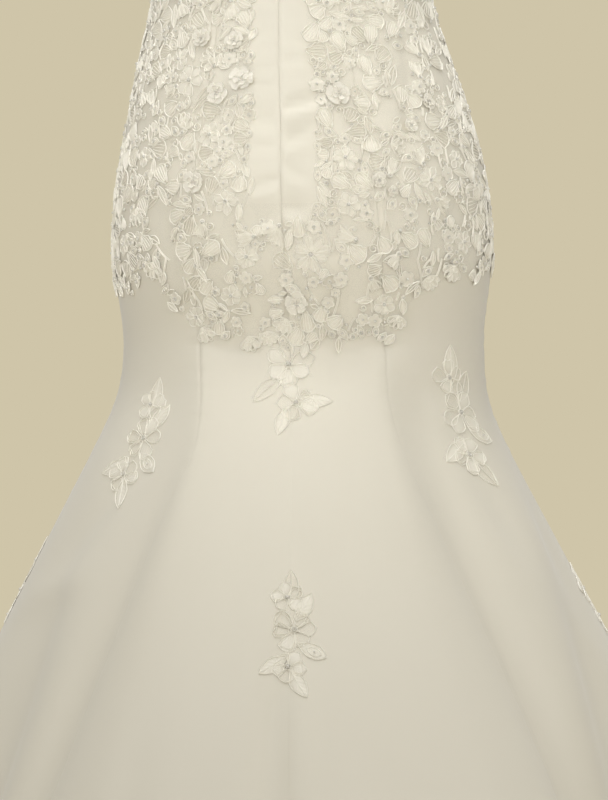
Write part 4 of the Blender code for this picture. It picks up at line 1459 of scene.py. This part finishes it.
def smallFlower(work, seat, length, width, bend, chance):
    # One scalloped patch with its cord, domed towards a bead
    count = chance.choice((5, 5, 6))
    way = np.linspace(0, 2 * np.pi, 4 * count + 1)[:-1]
    reach = length / 2 * (0.72 + 0.28 * np.abs(np.cos(count * way / 2)) ** 0.6)
    rim = np.stack([length / 2 + reach * np.cos(way), reach * np.sin(way)], axis=-1)
    if chance.random() < 0.75:
        middle = [length / 2, 0.0]
        work.patch(seat, rim, (rim - middle) * 0.60 + middle, thread["ground"], 0.0006)
    work.cord(seat, rim, thread["cord"] * 0.9, thread["ground"] + 0.0003, closed=True)
    centre = seat.movedBy(length / 2, 0.0)
    if chance.random() < 0.4:
        work.sequin(centre, 0.0, 0.0, chance.uniform(*sewnOn["flowerSequin"]), thread["ground"] + 0.0004)
    else:
        work.bead(centre, 0.0, 0.0, chance.uniform(*sewnOn["flowerBead"]), thread["ground"] + 0.0003)


# How each shape is drawn, its length and width, how much it bends, and the discs that cover it.
# A disc has its place along the shape and its radius as a share of the width.
shapesOfLace = {
    "leaf": (leaf, (0.017, 0.032), (0.0075, 0.0115), (0.05, 0.22), ((0.2, 0.32), (0.5, 0.44), (0.8, 0.26))),
    "bud": (bud, (0.013, 0.021), (0.0080, 0.0115), (0.16, 0.34), ((0.2, 0.28), (0.5, 0.46), (0.8, 0.34))),
    "tulip": (tulip, (0.022, 0.031), (0.018, 0.025), (0.02, 0.10),
              ((0.12, 0.16), (0.45, 0.36), (0.8, 0.46))),
    "fan": (fan, (0.017, 0.023), (0.026, 0.034), (0.02, 0.08), ((0.15, 0.16), (0.45, 0.32), (0.72, 0.42))),
    "shell": (shell, (0.013, 0.019), (0.012, 0.017), (-0.15, 0.15),
              ((0.2, 0.22), (0.55, 0.40), (0.8, 0.40))),
    "curl": (curl, (0.0065, 0.0105), (0.0065, 0.0105), (-0.2, 0.2), ((0.5, 0.48),)),
    "stem": (stem, (0.014, 0.028), (0.0030, 0.0034), (0.10, 0.34),
             ((0.08, 0.42), (0.29, 0.42), (0.5, 0.42), (0.71, 0.42), (0.92, 0.42))),
    "flower": (smallFlower, (0.0120, 0.0180), (0.0120, 0.0180), (0.0, 0.1), ((0.5, 0.45),)),
}


class Packing:
    # Which spots of the gown the lace has filled, as discs
    nearSquared = 0.0025  # discs more than 5 cm off can't touch

    def __init__(self):
        self.centres = np.zeros((0, 3))
        self.radii = np.zeros(0)

    def room(self, points, radii):
        offset = self.centres - points[0]
        near = np.einsum("ij,ij->i", offset, offset) < self.nearSquared
        gap = points[:, None] - self.centres[None, near]
        reach = radii[:, None] + self.radii[None, near]
        return not (np.einsum("ijk,ijk->ij", gap, gap) < reach * reach).any()

    def take(self, points, radii):
        self.centres = np.vstack([self.centres, points])
        self.radii = np.append(self.radii, radii)


laceTable = {
    "columnStep": 0.04,
    "rowStep": 0.03,
    "rows": 16.5,
    "lastRow": 16.4,
    "inset": 0.02,
}


def laceMap():
    # A fine table of the grid places that the lace covers, from one side seam round to the same seam
    side, inset = grid["seamAt"][2], laceTable["inset"]
    farSide = grid["around"] - side
    column, row = np.meshgrid(np.arange(-side, farSide, laceTable["columnStep"]),
                              np.arange(0.0, laceTable["rows"], laceTable["rowStep"]))
    back = insideOutline(np.clip(column, -side + inset, side - inset), row, outlines["lace_back"])
    front = insideOutline(np.clip(column, side + inset, farSide - inset), row, outlines["lace_front"])
    return (back & (column <= side)) | (front & (column >= side))


covered = laceMap()
packing = Packing()
works = {"lace_back": LaceWork(), "lace_front": LaceWork()}


def inLace(angles, heights):
    column, row = gridOf(angles, heights)
    around = (column + grid["seamAt"][2]) % grid["around"]
    i = np.clip((row / laceTable["rowStep"]).astype(int), 0, covered.shape[0] - 1)
    j = np.clip((around / laceTable["columnStep"]).astype(int), 0, covered.shape[1] - 1)
    return covered[i, j] & (row >= 0) & (row < laceTable["lastRow"])


def workAt(angle):
    return works["lace_back" if abs(turned(angle)) < 90 else "lace_front"]


class Throw:
    # Many tries of one shape: where each would lie and the discs that it would cover
    def __init__(self, kind, angle, height, turn, dice, scale=1.0, root=0.0):
        angle, height, turn = (np.atleast_1d(value) for value in (angle, height, turn))
        count = len(angle)
        self.draw, lengths, widths, bends, self.discs = shapesOfLace[kind]
        self.length = dice.uniform(*lengths, count) * scale
        self.width = dice.uniform(*widths, count) * scale
        self.bend = dice.uniform(*bends, count) * dice.choice((-1.0, 1.0), count)
        self.angle, self.height, self.turn = angle, height, turn
        self.scales = scalesAt(angle, height)
        t = np.array([d[0] for d in self.discs])
        x = root + self.length[:, None] * t
        y = self.length[:, None] * self.bend[:, None] * t ** 2
        way = np.radians(turn)[:, None]
        right = x * np.cos(way) - y * np.sin(way)
        up = x * np.sin(way) + y * np.cos(way)
        a = angle[:, None] + right / self.scales[0][:, None]
        h = height[:, None] + up / self.scales[1][:, None]
        self.inside = inLace(a, h).all(axis=1)
        self.points = gownPoint(a, h)
        self.radii = sprays["crowding"] * self.width[:, None] * np.array([d[1] for d in self.discs])
        self.root = root

    def place(self, i, work, chance, free=False):
        # Draws the shape if its spot is in the lace, or free of it, and still bare
        if not (free or self.inside[i]) or not packing.room(self.points[i], self.radii[i]):
            return False
        packing.take(self.points[i], self.radii[i])
        seat = Seat(self.angle[i], self.height[i], self.turn[i], (self.scales[0][i], self.scales[1][i]))
        if self.root:
            seat = seat.movedBy(self.root, 0.0)
        low = float(smooth(*thread["lowPileFrom"], self.height[i]))
        work.base = chance.uniform(0.0, thread["pile"] + thread["lowPile"] * low)
        self.draw(work, seat, self.length[i], self.width[i], self.bend[i], chance)
        work.base = 0.0
        return True


def keepGapsClear():
    # Three discs down each gap of the net
    for found in gaps.values():
        for gap in found:
            c, r = np.array(gap).T
            spread = (r.max() - r.min()) * 0.25
            angle, height = gridPlace(np.full(3, c.mean()), r.mean() + spread * np.array([-1.0, 0.0, 1.0]))
            packing.take(gownPoint(angle, height), sprays["gapDiscs"])


def spotAt(angle, height):
    return gownPoint(np.array([float(angle)]), np.array([height]))


def anywhere(dice, count):
    # Random places all round the gown, from its top to below the lace
    side = grid["seamAt"][2]
    column = dice.uniform(-side, grid["around"] - side, count)
    return gridPlace(column, dice.uniform(*sprays["rows"], count))


# What is thrown into the lace in turn: shape, tries and size
sprays = {
    "bloomRadius": (0.0120, 0.0175),
    "edgeStep": 0.0115,
    "throws": (
        ("shell", 3000, 1.0), ("tulip", 3000, 0.74), ("fan", 3000, 0.70), ("flower", 4000, 0.80),
        ("leaf", 4000, 0.66), ("bud", 5000, 0.74), ("shell", 6000, 0.66), ("stem", 7000, 0.80),
        ("curl", 7000, 0.90), ("tulip", 6000, 0.55), ("bud", 8000, 0.55), ("flower", 9000, 0.56),
        ("leaf", 9000, 0.42), ("stem", 9000, 0.50), ("curl", 9000, 0.60),
    ),
    "rows": (0.3, 15.6),
    "crowding": 0.88,
    "gapDiscs": (0.0036, 0.0046, 0.0036),
    "bloomRoom": 0.90,
    "raisedRadius": (0.0085, 0.0110),
    "roundBlooms": {"scale": 0.66, "root": 0.94},
    "lowerEdge": {"inset": 0.010, "scale": 0.66},
    "stripEdge": {"inset": 0.007, "scale": 0.52},
    "frontScale": 1.7,
    "beadTries": 5000,
    "beadRoom": 0.0019,
    "beadApart": 0.0040,
}

# Flowers of the lace at the back; raised ones stand off it
backFlowers = (
    ("angle", "height", "radius", "petals", "raised"),
    (-31, -0.0825, 0.0095, 6, 1), (-17, -0.085, 0.0085, 6, 1), (-22, -0.130, 0.0105, 6, 1),
    (-28, -0.2075, 0.0105, 6, 1), (20, -0.1325, 0.0105, 6, 1), (55, -0.140, 0.0070, 5, 1),
    (30, -0.2075, 0.0070, 5, 1), (34.5, -0.2165, 0.0048, 5, 1), (3, -0.3125, 0.0105, 6, 1),
    (45, -0.160, 0.0060, 5, 1), (8, -0.270, 0.0180, 13, 0), (-24, -0.166, 0.0125, 7, 0),
    (-11, -0.272, 0.0120, 8, 0), (-17, -0.224, 0.0120, 6, 0), (20, -0.187, 0.0120, 7, 0),
    (20, -0.2275, 0.0120, 6, 0), (49, -0.2075, 0.0130, 7, 0), (-17, -0.306, 0.0115, 6, 0),
    (-41, -0.100, 0.0105, 6, 0), (63, -0.190, 0.0100, 6, 0), (-52, -0.185, 0.0110, 6, 0),
    (-62, -0.262, 0.0110, 7, 0), (62, -0.262, 0.0115, 7, 0), (30, -0.315, 0.0110, 6, 0),
    (-30, -0.325, 0.0105, 6, 0), (38, -0.010, 0.0105, 6, 1), (-36, -0.015, 0.0100, 6, 1),
    (24, 0.070, 0.0105, 6, 1), (-22, 0.055, 0.0105, 6, 1), (60, 0.085, 0.0100, 6, 1),
    (-64, 0.095, 0.0105, 6, 1),
)

# Places where the satin shows plain through the net
bareSpots = (
    ("angle", "height", "radius"),
    (-40, -0.2325, 0.0070), (-40, -0.2475, 0.0075), (-39, -0.2625, 0.0070), (-36, -0.2825, 0.0065),
    (-35, -0.2975, 0.0065), (-21, -0.285, 0.0085), (-18, -0.2475, 0.0075), (-5, -0.2825, 0.0070),
    (-4, -0.2975, 0.0075), (-8, -0.315, 0.0085), (-12, -0.330, 0.0080), (20, -0.3025, 0.0085),
    (22, -0.2925, 0.0070), (17.5, -0.318, 0.0070), (24, -0.255, 0.0060), (37, -0.145, 0.0075),
    (35, -0.1575, 0.0065), (48, -0.1025, 0.0075), (47, -0.1175, 0.0070), (25, -0.118, 0.0055),
    (-8, -0.232, 0.0085), (-3, -0.232, 0.0085), (2, -0.232, 0.0085), (6.5, -0.230, 0.0070),
    (76, -0.1025, 0.0060), (71, -0.120, 0.0060), (50, -0.260, 0.0065), (39, -0.2825, 0.0060),
    (35, -0.2375, 0.0065), (-53, -0.1525, 0.0055), (4, -0.2935, 0.0045), (11, -0.3025, 0.0050),
)


def placePlanned(chance):
    # The flowers and plain places at the back, before anything else
    for angle, height, radius in bareSpots[1:]:
        packing.take(spotAt(angle, height), [radius])
    for angle, height, radius, count, raised in backFlowers[1:]:
        packing.take(spotAt(angle, height), [radius * 0.92])
        seat = Seat(angle, height, chance.uniform(0, 360))
        if raised:
            standingFlower(works["lace_back"], seat, radius, chance)
        else:
            bloom(works["lace_back"], seat, radius, count, chance.choice(("round", "pointed")), chance)
    return len(backFlowers) - 1


def placeBlooms(chance, dice):
    # Large flowers on their knots, each with leaves and buds round it
    seats = []
    beside = sprays["roundBlooms"]
    for name in knots:
        for column, row in knots[name]:
            angle, height = (float(v) for v in gridPlace(column, row))
            radius = chance.uniform(*sprays["bloomRadius"])
            spot = spotAt(angle, height)
            taken = np.array([radius * sprays["bloomRoom"]])
            if packing.room(spot, taken):
                packing.take(spot, taken)
                seats.append((name, Seat(angle, height, chance.uniform(0, 360)), radius))
    for i, (name, seat, radius) in enumerate(seats):
        kind = chance.choice(("round", "round", "pointed"))
        if i % 3 == 1:
            standingFlower(works[name], seat, chance.uniform(*sprays["raisedRadius"]), chance)
        else:
            bloom(works[name], seat, radius, chance.choice((5, 6, 7, 9)), kind, chance)
        count = chance.choice((5, 6, 7))
        for k in range(count):
            shape = chance.choice(("leaf", "leaf", "bud", "tulip"))
            turn = 360.0 * k / count + chance.uniform(-14, 14)
            tried = Throw(shape, seat.angle, seat.height, turn, dice, beside["scale"],
                          radius * beside["root"])
            tried.place(0, works[name], chance)
    return len(seats)


def edgeWork(chance, dice):
    # Leaves, buds and shells that point out along the lower edge and beside the zip
    placed = 0
    side = grid["seamAt"][2]
    for outline in outlines.values():
        for (c0, r0), (c1, r1) in zip(outline, outline[1:] + outline[:1]):
            atTop = r0 == r1 and r0 < laceCut["topMargin"] + 0.01
            atSide = abs(abs(c0) - side) < 0.1 and abs(abs(c1) - side) < 0.1
            atZipEnd = r0 == r1 and abs(c0) < 12 and heightOf(r0, 0.0) > laceCut["stripEnd"] - 0.002
            if atSide or atZipEnd or atTop:
                continue
            long = math.hypot((c1 - c0) * grid["cellWidth"], (r1 - r0) * grid["cellHeight"])
            steps = max(1, round(long / sprays["edgeStep"]))
            lower = abs(c1 - c0) > abs(r1 - r0) * 0.6
            edge = sprays["lowerEdge" if lower else "stripEdge"]
            for k in range(steps):
                t = (k + chance.uniform(0.2, 0.8)) / steps
                angle, height = (float(v) for v in gridPlace(c0 + t * (c1 - c0), r0 + t * (r1 - r0)))
                turn = -90 + chance.uniform(-50, 50) if lower else chance.uniform(40, 140)
                spot = Seat(angle, height, turn).movedBy(-edge["inset"], 0.0)
                shape = chance.choice(("leaf", "bud", "fan") if lower else ("leaf", "bud"))
                tried = Throw(shape, spot.angle, spot.height, turn, dice, edge["scale"])
                placed += tried.place(0, workAt(spot.angle), chance, free=lower)
    return placed


def scatter(chance, dice):
    # Shapes thrown into what is still bare, from the largest to the smallest
    placed = {}
    for kind, tries, scale in sprays["throws"]:
        angle, height = anywhere(dice, tries)
        turn = dice.uniform(0, 360, tries)
        if kind == "stem":
            turn = 90.0 + dice.uniform(-28, 28, tries) + 180.0 * dice.integers(0, 2, tries)
        larger = np.where(np.abs(turned(angle)) > 92.0, sprays["frontScale"], 1.0)
        tried = Throw(kind, angle, height, turn, dice, scale * larger)
        for i in np.flatnonzero(tried.inside):
            if tried.place(i, workAt(angle[i]), chance):
                placed[kind] = placed.get(kind, 0) + 1
    return placed


def scatterBeads(chance, dice):
    # Single beads and sequins in the last bare places
    placed = 0
    angle, height = anywhere(dice, sprays["beadTries"])
    points = gownPoint(angle, height)
    for i in np.flatnonzero(inLace(angle, height)):
        if packing.room(points[i:i + 1], np.array([sprays["beadRoom"]])):
            packing.take(points[i:i + 1], [sprays["beadApart"]])
            seat = Seat(angle[i], height[i])
            if chance.random() < 0.35:
                workAt(seat.angle).sequin(seat, 0.0, 0.0, chance.uniform(*sewnOn["looseSequin"]), 0.0006)
            else:
                workAt(seat.angle).bead(seat, 0.0, 0.0, chance.uniform(*sewnOn["looseBead"]), 0.0003)
            placed += 1
    return placed


chance = random.Random(4)
dice = np.random.default_rng(4)
keepGapsClear()
print("planned flowers:", placePlanned(chance))
print("blooms:", placeBlooms(chance, dice))
print("edge work:", edgeWork(chance, dice))
print("shapes:", scatter(chance, dice))
print("loose beads:", scatterBeads(chance, dice))


def drop(work):
    # The flowers and leaves that hang from the lace's point
    for height, right, radius, count, turn in dropFlowers[1:]:
        seat = Seat(dropAngle, height).movedBy(right, 0.0)
        bloom(work, seat.turnedBy(turn), radius, count, "pointed", chance, 0.6)
    for height, right, length, width, turn in dropLeaves[1:]:
        leaf(work, Seat(dropAngle, height).movedBy(right, 0.0).turnedBy(turn), length, width, 0.12, chance)


drop(works["lace_back"])

laceKinds = {
    "cord": ("_cords", "cord", "lace"),
    "vein": ("_veins", "cord", "lace"),
    "petal": ("_petals", "petal", "lace"),
    "leaf": ("_leaves", "leaf", "lace"),
    "flower": ("_flowers", "flower", "lace"),
    "bead": ("_beads", "pearl", "beads"),
    "sequin": ("_sequins", "sequin", "beads"),
    "crystal": ("_crystals", "crystal", "beads"),
}


def laceFabric(name):
    # A lace piece: its net and all that is worked on it. Its length takes the listed ease.
    shapes = [outlines[name]] + (dropShapes() if name == "lace_back" else [])
    net, area, outer = tulleSheet(name + "_net", shapes, gaps[name], name)
    worked = works[name].pieces(name, laceKinds)
    length = float(outer[:, 2].max() - outer[:, 2].min()) * laceCut["flatEase"]
    print(name, "net area", round(area, 4), "length", round(length, 3))


for name in outlines:
    laceFabric(name)

# Loose motifs on the skirt
motifs = (
    ("name", "angle", "height", "length", "lean"),
    ("motif_back_centre", 0.2, -0.585, 0.106, 4.0),
    ("motif_back_right", 56.5, -0.417, 0.120, 3.0),
    ("motif_back_left", -50.0, -0.435, 0.114, -4.0),
    ("motif_side_right", 92.0, -0.606, 0.106, 6.0),
    ("motif_side_left", -88.0, -0.578, 0.106, -6.0),
    ("motif_front_right", 128.0, -0.430, 0.112, -6.0),
    ("motif_front_left", -128.0, -0.440, 0.112, 6.0),
    ("motif_front_centre", 180.0, -0.540, 0.108, -3.0),
)
motifFlowers = (("right", "up", "radius", "petals", "turn"),
                (-0.01, 0.32, 0.145, 5, 20), (0.03, 0.04, 0.195, 6, 0), (-0.04, -0.27, 0.160, 5, 50))
motifLeaves = (("right", "up", "length", "width", "turn"),
               (0.00, 0.26, 0.30, 0.13, 78), (0.05, 0.12, 0.26, 0.13, 52), (0.05, -0.08, 0.25, 0.12, -38),
               (-0.04, -0.18, 0.26, 0.12, 205), (-0.02, -0.30, 0.27, 0.12, -72),
               (-0.02, -0.34, 0.72, 0.06, 88))
motifCut = {
    "filled": 0.45,
    "drawn": 5,
    "budAt": 2,
    "flatWidth": 0.62,
    "flatLength": 1.2,
    "leastShare": 0.31,
}


def motif(name, angle, height, length, lean):
    # One motif: the same flowers and leaves on every one, drawn by other chances, on its own net.
    # Its flat size is given, as shares of its length.
    base = Seat(angle, height, lean)
    plain = Seat(angle, height)
    swing = math.radians(lean)
    work = LaceWork()
    shapes = []

    def leant(x, y):
        return (length * (x * math.cos(swing) - y * math.sin(swing)),
                length * (x * math.sin(swing) + y * math.cos(swing)))

    for x, y, radius, count, turn in motifFlowers[1:]:
        seat = base.movedBy(x * length, y * length).turnedBy(turn)
        kind = chance.choice(("round", "pointed"))
        bloom(work, seat, radius * length, count, kind, chance, motifCut["filled"])
        shapes.append(petalRing(plain, *leant(x, y), radius * length, count, turn + lean))
    for k, (x, y, long, wide, turn) in enumerate(motifLeaves[1:]):
        shapes.append(leafRing(plain, *leant(x, y), long * length, wide * length, turn + lean))
        if k < motifCut["drawn"]:
            seat = base.movedBy(x * length, y * length).turnedBy(turn)
            draw = bud if k == motifCut["budAt"] else leaf
            draw(work, seat, long * length, wide * length, 0.1, chance)
    net, area, _ = tulleSheet(name + "_net", shapes, [], name)
    worked = work.pieces(name, laceKinds)
    flat = (length * motifCut["flatWidth"], length * motifCut["flatLength"])
    least = motifCut["leastShare"] * flat[0] * flat[1]


for row in motifs[1:]:
    motif(*row)
print("motifs made:", len(motifs) - 1)

# The zip: a woven tape behind the seam, a coil of small teeth on it, and rows of stitches
zipper = {
    "halfWidth": 0.62,
    "top": 0.1,
    "end": -0.262,
    "face": -0.0021,
    "back": -0.0032,
    "coilEnd": 0.010,
    "stitchEnd": 0.004,
    "toothPitch": 0.0015,
    "toothReach": 0.0019,
    "toothBend": (0.0006, 0.0002),
    "toothTip": 0.0007,
    "toothRadius": 0.00042,
    "toothSunk": 0.0003,
    "rows": 108,
    "columns": 9,
    "topMargin": 0.006,
    "stitchPitch": 0.0032,
    "stitchAside": 0.0082,
    "stitchLength": 0.0023,
}
stitchRadius = 0.0002


def zipTape():
    # The tape, its teeth on alternate sides of the middle, and a row of stitches down each side
    rows = np.linspace(zipper["top"], float(rowOf(0.0, zipper["end"])), zipper["rows"])
    columns = np.linspace(-zipper["halfWidth"], zipper["halfWidth"], zipper["columns"])
    angle, height = gridPlace(columns[None, :], rows[:, None])
    outer, inner = (onSatin(angle, height, zipper[side]) for side in ("face", "back"))
    tape = newPiece("zip_tape_ribbon", *twoSheets(outer, inner), "ribbon", "zip_tape")
    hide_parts("zip_tape")
    width, length, area = sizesOf(outer)
    print("zip tape", round(width, 4), round(length, 3))
    work = LaceWork()
    top = float(topOf(0.0)) - zipper["topMargin"]
    coilEnd, stitchEnd = (zipper["end"] + zipper[above] for above in ("coilEnd", "stitchEnd"))
    for k, height in enumerate(np.arange(top, coilEnd, -zipper["toothPitch"] / 2)):
        side = 1 if k % 2 else -1
        bend, up = zipper["toothBend"]
        ends = np.array([[side * zipper["toothReach"], 0.0], [side * bend, up],
                         [-side * zipper["toothTip"], 0.0]])
        lift = zipper["back"] - zipper["toothSunk"]
        work.cord(Seat(0.0, height), ends, zipper["toothRadius"], lift, sides=4, kind="coil")
    for height in np.arange(top, stitchEnd, -zipper["stitchPitch"]):
        for side in (-1, 1):
            x = side * zipper["stitchAside"]
            ends = np.array([[x, 0.0], [x, -zipper["stitchLength"]]])
            work.cord(Seat(0.0, height), ends, stitchRadius, zipper["back"], kind="stitch")
    work.pieces("zip", {"coil": ("_coil", "enamel", "zip_metal"),
                        "stitch": ("_stitches", "sewing", "zip_tape")})


zipTape()

# Hand stitches on the inside of the hem and of the top edge
sewn = (
    ("name", "above", "pitch", "length", "turn"),
    ("hem", 0.022, 0.0085, 0.0022, 60.0),
    ("top_edge", -0.0065, 0.0042, 0.0028, 0.0),
)


def stitchRow(name, above, pitch, length, turn):
    # Stitches at even steps along the hem's or the top edge's own length
    angles = np.linspace(-180.0, 180.0, 1441)
    heights = (form["hem"] + above if name == "hem" else topOf(angles) + above) + 0 * angles
    steps = np.linalg.norm(np.diff(gownPoint(angles, heights), axis=0), axis=1)
    run = np.concatenate([[0.0], np.cumsum(steps)])
    work = LaceWork()
    for angle in np.interp(np.arange(0.0, run[-1] - pitch / 2, pitch), run, angles):
        seat = Seat(angle, float(np.interp(angle, angles, heights)), turn)
        ends = np.array([[0.0, 0.0], [length, 0.0]])
        work.cord(seat, ends, stitchRadius, -satin["thickness"], kind="stitch")
    work.pieces(name, {"stitch": ("_stitches", "sewing", "satin")})


for row in sewn[1:]:
    stitchRow(*row)
print("zip and stitches made")

# The slider and its pull keep their solids' shapes, in enamel
for node in ("zip_slider", "zip_pull"):
    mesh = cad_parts[node].data
    mesh.materials.clear()
    mesh.materials.append(materials["enamel"])

# Camera, floor and lights
view = {
    "azimuth": 6.0,
    "elevation": 4.0,
    "distance": 3.3,
    "aim": (0.0063, 0.0, -0.405),
    "lens": 110.0,
    "sensor": 24.0,
    "roll": 0.6,
}


def addCamera():
    # The photograph's place, height and roll
    a, e = math.radians(view["azimuth"]), math.radians(view["elevation"])
    back = Vector((math.sin(a) * math.cos(e), -math.cos(a) * math.cos(e), math.sin(e)))
    lens = bpy.data.cameras.new("camera")
    lens.sensor_fit = "VERTICAL"
    lens.sensor_height = view["sensor"]
    lens.lens = view["lens"]
    eye = bpy.data.objects.new("camera", lens)
    bpy.context.scene.collection.objects.link(eye)
    eye.location = Vector(view["aim"]) + back * view["distance"]
    eye.rotation_mode = "QUATERNION"
    roll = Quaternion((0, 0, 1), math.radians(-view["roll"]))
    eye.rotation_quaternion = (-back).to_track_quat("-Z", "Y") @ roll
    bpy.context.scene.camera = eye


lighting = {
    "wall": (0.624, 0.558, 0.397),
    "ambient": (1.0, 0.985, 0.955),
    "ambientStrength": 0.473,
    "lamps": (
        ("name", "place", "aim", "size", "power", "spread", "colour"),
        ("top", (0.0, -0.5, 2.4), (0, 0, -0.3), 1.1, 26.0, 180.0, (1.0, 1.0, 1.0)),
        ("right", (2.4, -1.6, 0.3), (0, 0, -0.4), 1.2, 8.8, 180.0, (1.0, 1.0, 1.0)),
        ("upper", (-0.4, -2.8, 0.9), (0, 0, 0.1), 0.8, 0.85, 40.0, (1.0, 1.0, 1.0)),
        ("upper_right", (1.5, -2.2, 0.9), (0, 0, 0), 1.0, 0.75, 60.0, (1.0, 1.0, 1.0)),
        ("upper_left", (-1.6, -2.2, 0.9), (0, 0, 0), 1.0, 1.33, 60.0, (1.0, 1.0, 1.0)),
        ("low", (0.0, -2.75, -0.75), (0, 0, -0.235), 0.3, 0.068, 13.0, (1.0, 0.99, 0.96)),
        ("behind", (0.0, 2.3, 2.0), (0, 0, -0.4), 1.6, 32.0, 180.0, (1.0, 1.0, 1.0)),
    ),
}


def addLights():
    # Lamps, an even light from all round, and the plain wall that only the camera sees
    for name, spot, aim, size, power, spread, colour in lighting["lamps"][1:]:
        data = bpy.data.lights.new(name, "AREA")
        data.shape = "DISK"
        data.size = size
        data.energy = power
        data.spread = math.radians(spread)
        data.color = colour
        lamp = bpy.data.objects.new(name, data)
        bpy.context.scene.collection.objects.link(lamp)
        lamp.location = spot
        lamp.rotation_mode = "QUATERNION"
        lamp.rotation_quaternion = (Vector(aim) - Vector(spot)).to_track_quat("-Z", "Y")
    world = bpy.data.worlds.new("studio")
    bpy.context.scene.world = world
    world.use_nodes = True
    tree = world.node_tree
    ground = tree.nodes["Background"]
    ground.inputs["Color"].default_value = (*lighting["ambient"], 1)
    ground.inputs["Strength"].default_value = lighting["ambientStrength"]
    wire = Wire(tree)
    wall = wire.node("ShaderNodeBackground", inputs={"Color": (*lighting["wall"], 1), "Strength": 1.0})
    seen = wire.node("ShaderNodeLightPath")
    mixed = wire.node("ShaderNodeMixShader", inputs={0: seen, 1: Wire(tree, ground.outputs[0]), 2: wall})
    tree.links.new(mixed.socket, tree.nodes["World Output"].inputs["Surface"])


floorLook = {
    "radius": 2.4,
    "sides": 96,
    "below": 0.002,
    "shade": (0.60, 0.55, 0.43),
    "light": (0.66, 0.60, 0.47),
    "roughness": 0.7,
}


def addFloor():
    mesh = bpy.data.meshes.new("floor")
    count, radius, level = floorLook["sides"], floorLook["radius"], form["hem"] - floorLook["below"]
    turns = [2 * math.pi * k / count for k in range(count)]
    ring = [(radius * math.cos(turn), radius * math.sin(turn), level) for turn in turns]
    mesh.from_pydata(ring, [], [list(range(count))])
    made, shader, wire = newMaterial("pale_floor", {"Roughness": floorLook["roughness"]})
    tone = noise(place(wire), 3.0, 3.0)
    feed(shader, "Base Color", blendColour(tone, floorLook["shade"], floorLook["light"]))
    mesh.materials.append(made)
    piece = bpy.data.objects.new("floor", mesh)
    bpy.context.scene.collection.objects.link(piece)


addCamera()
addLights()
addFloor()
bpy.context.scene.view_settings.view_transform = "Standard"

shown = [piece.data for piece in bpy.context.scene.objects
         if piece.type == "MESH" and not piece.hide_render]
print("triangles in all:", sum(len(face.vertices) - 2 for mesh in shown for face in mesh.polygons))
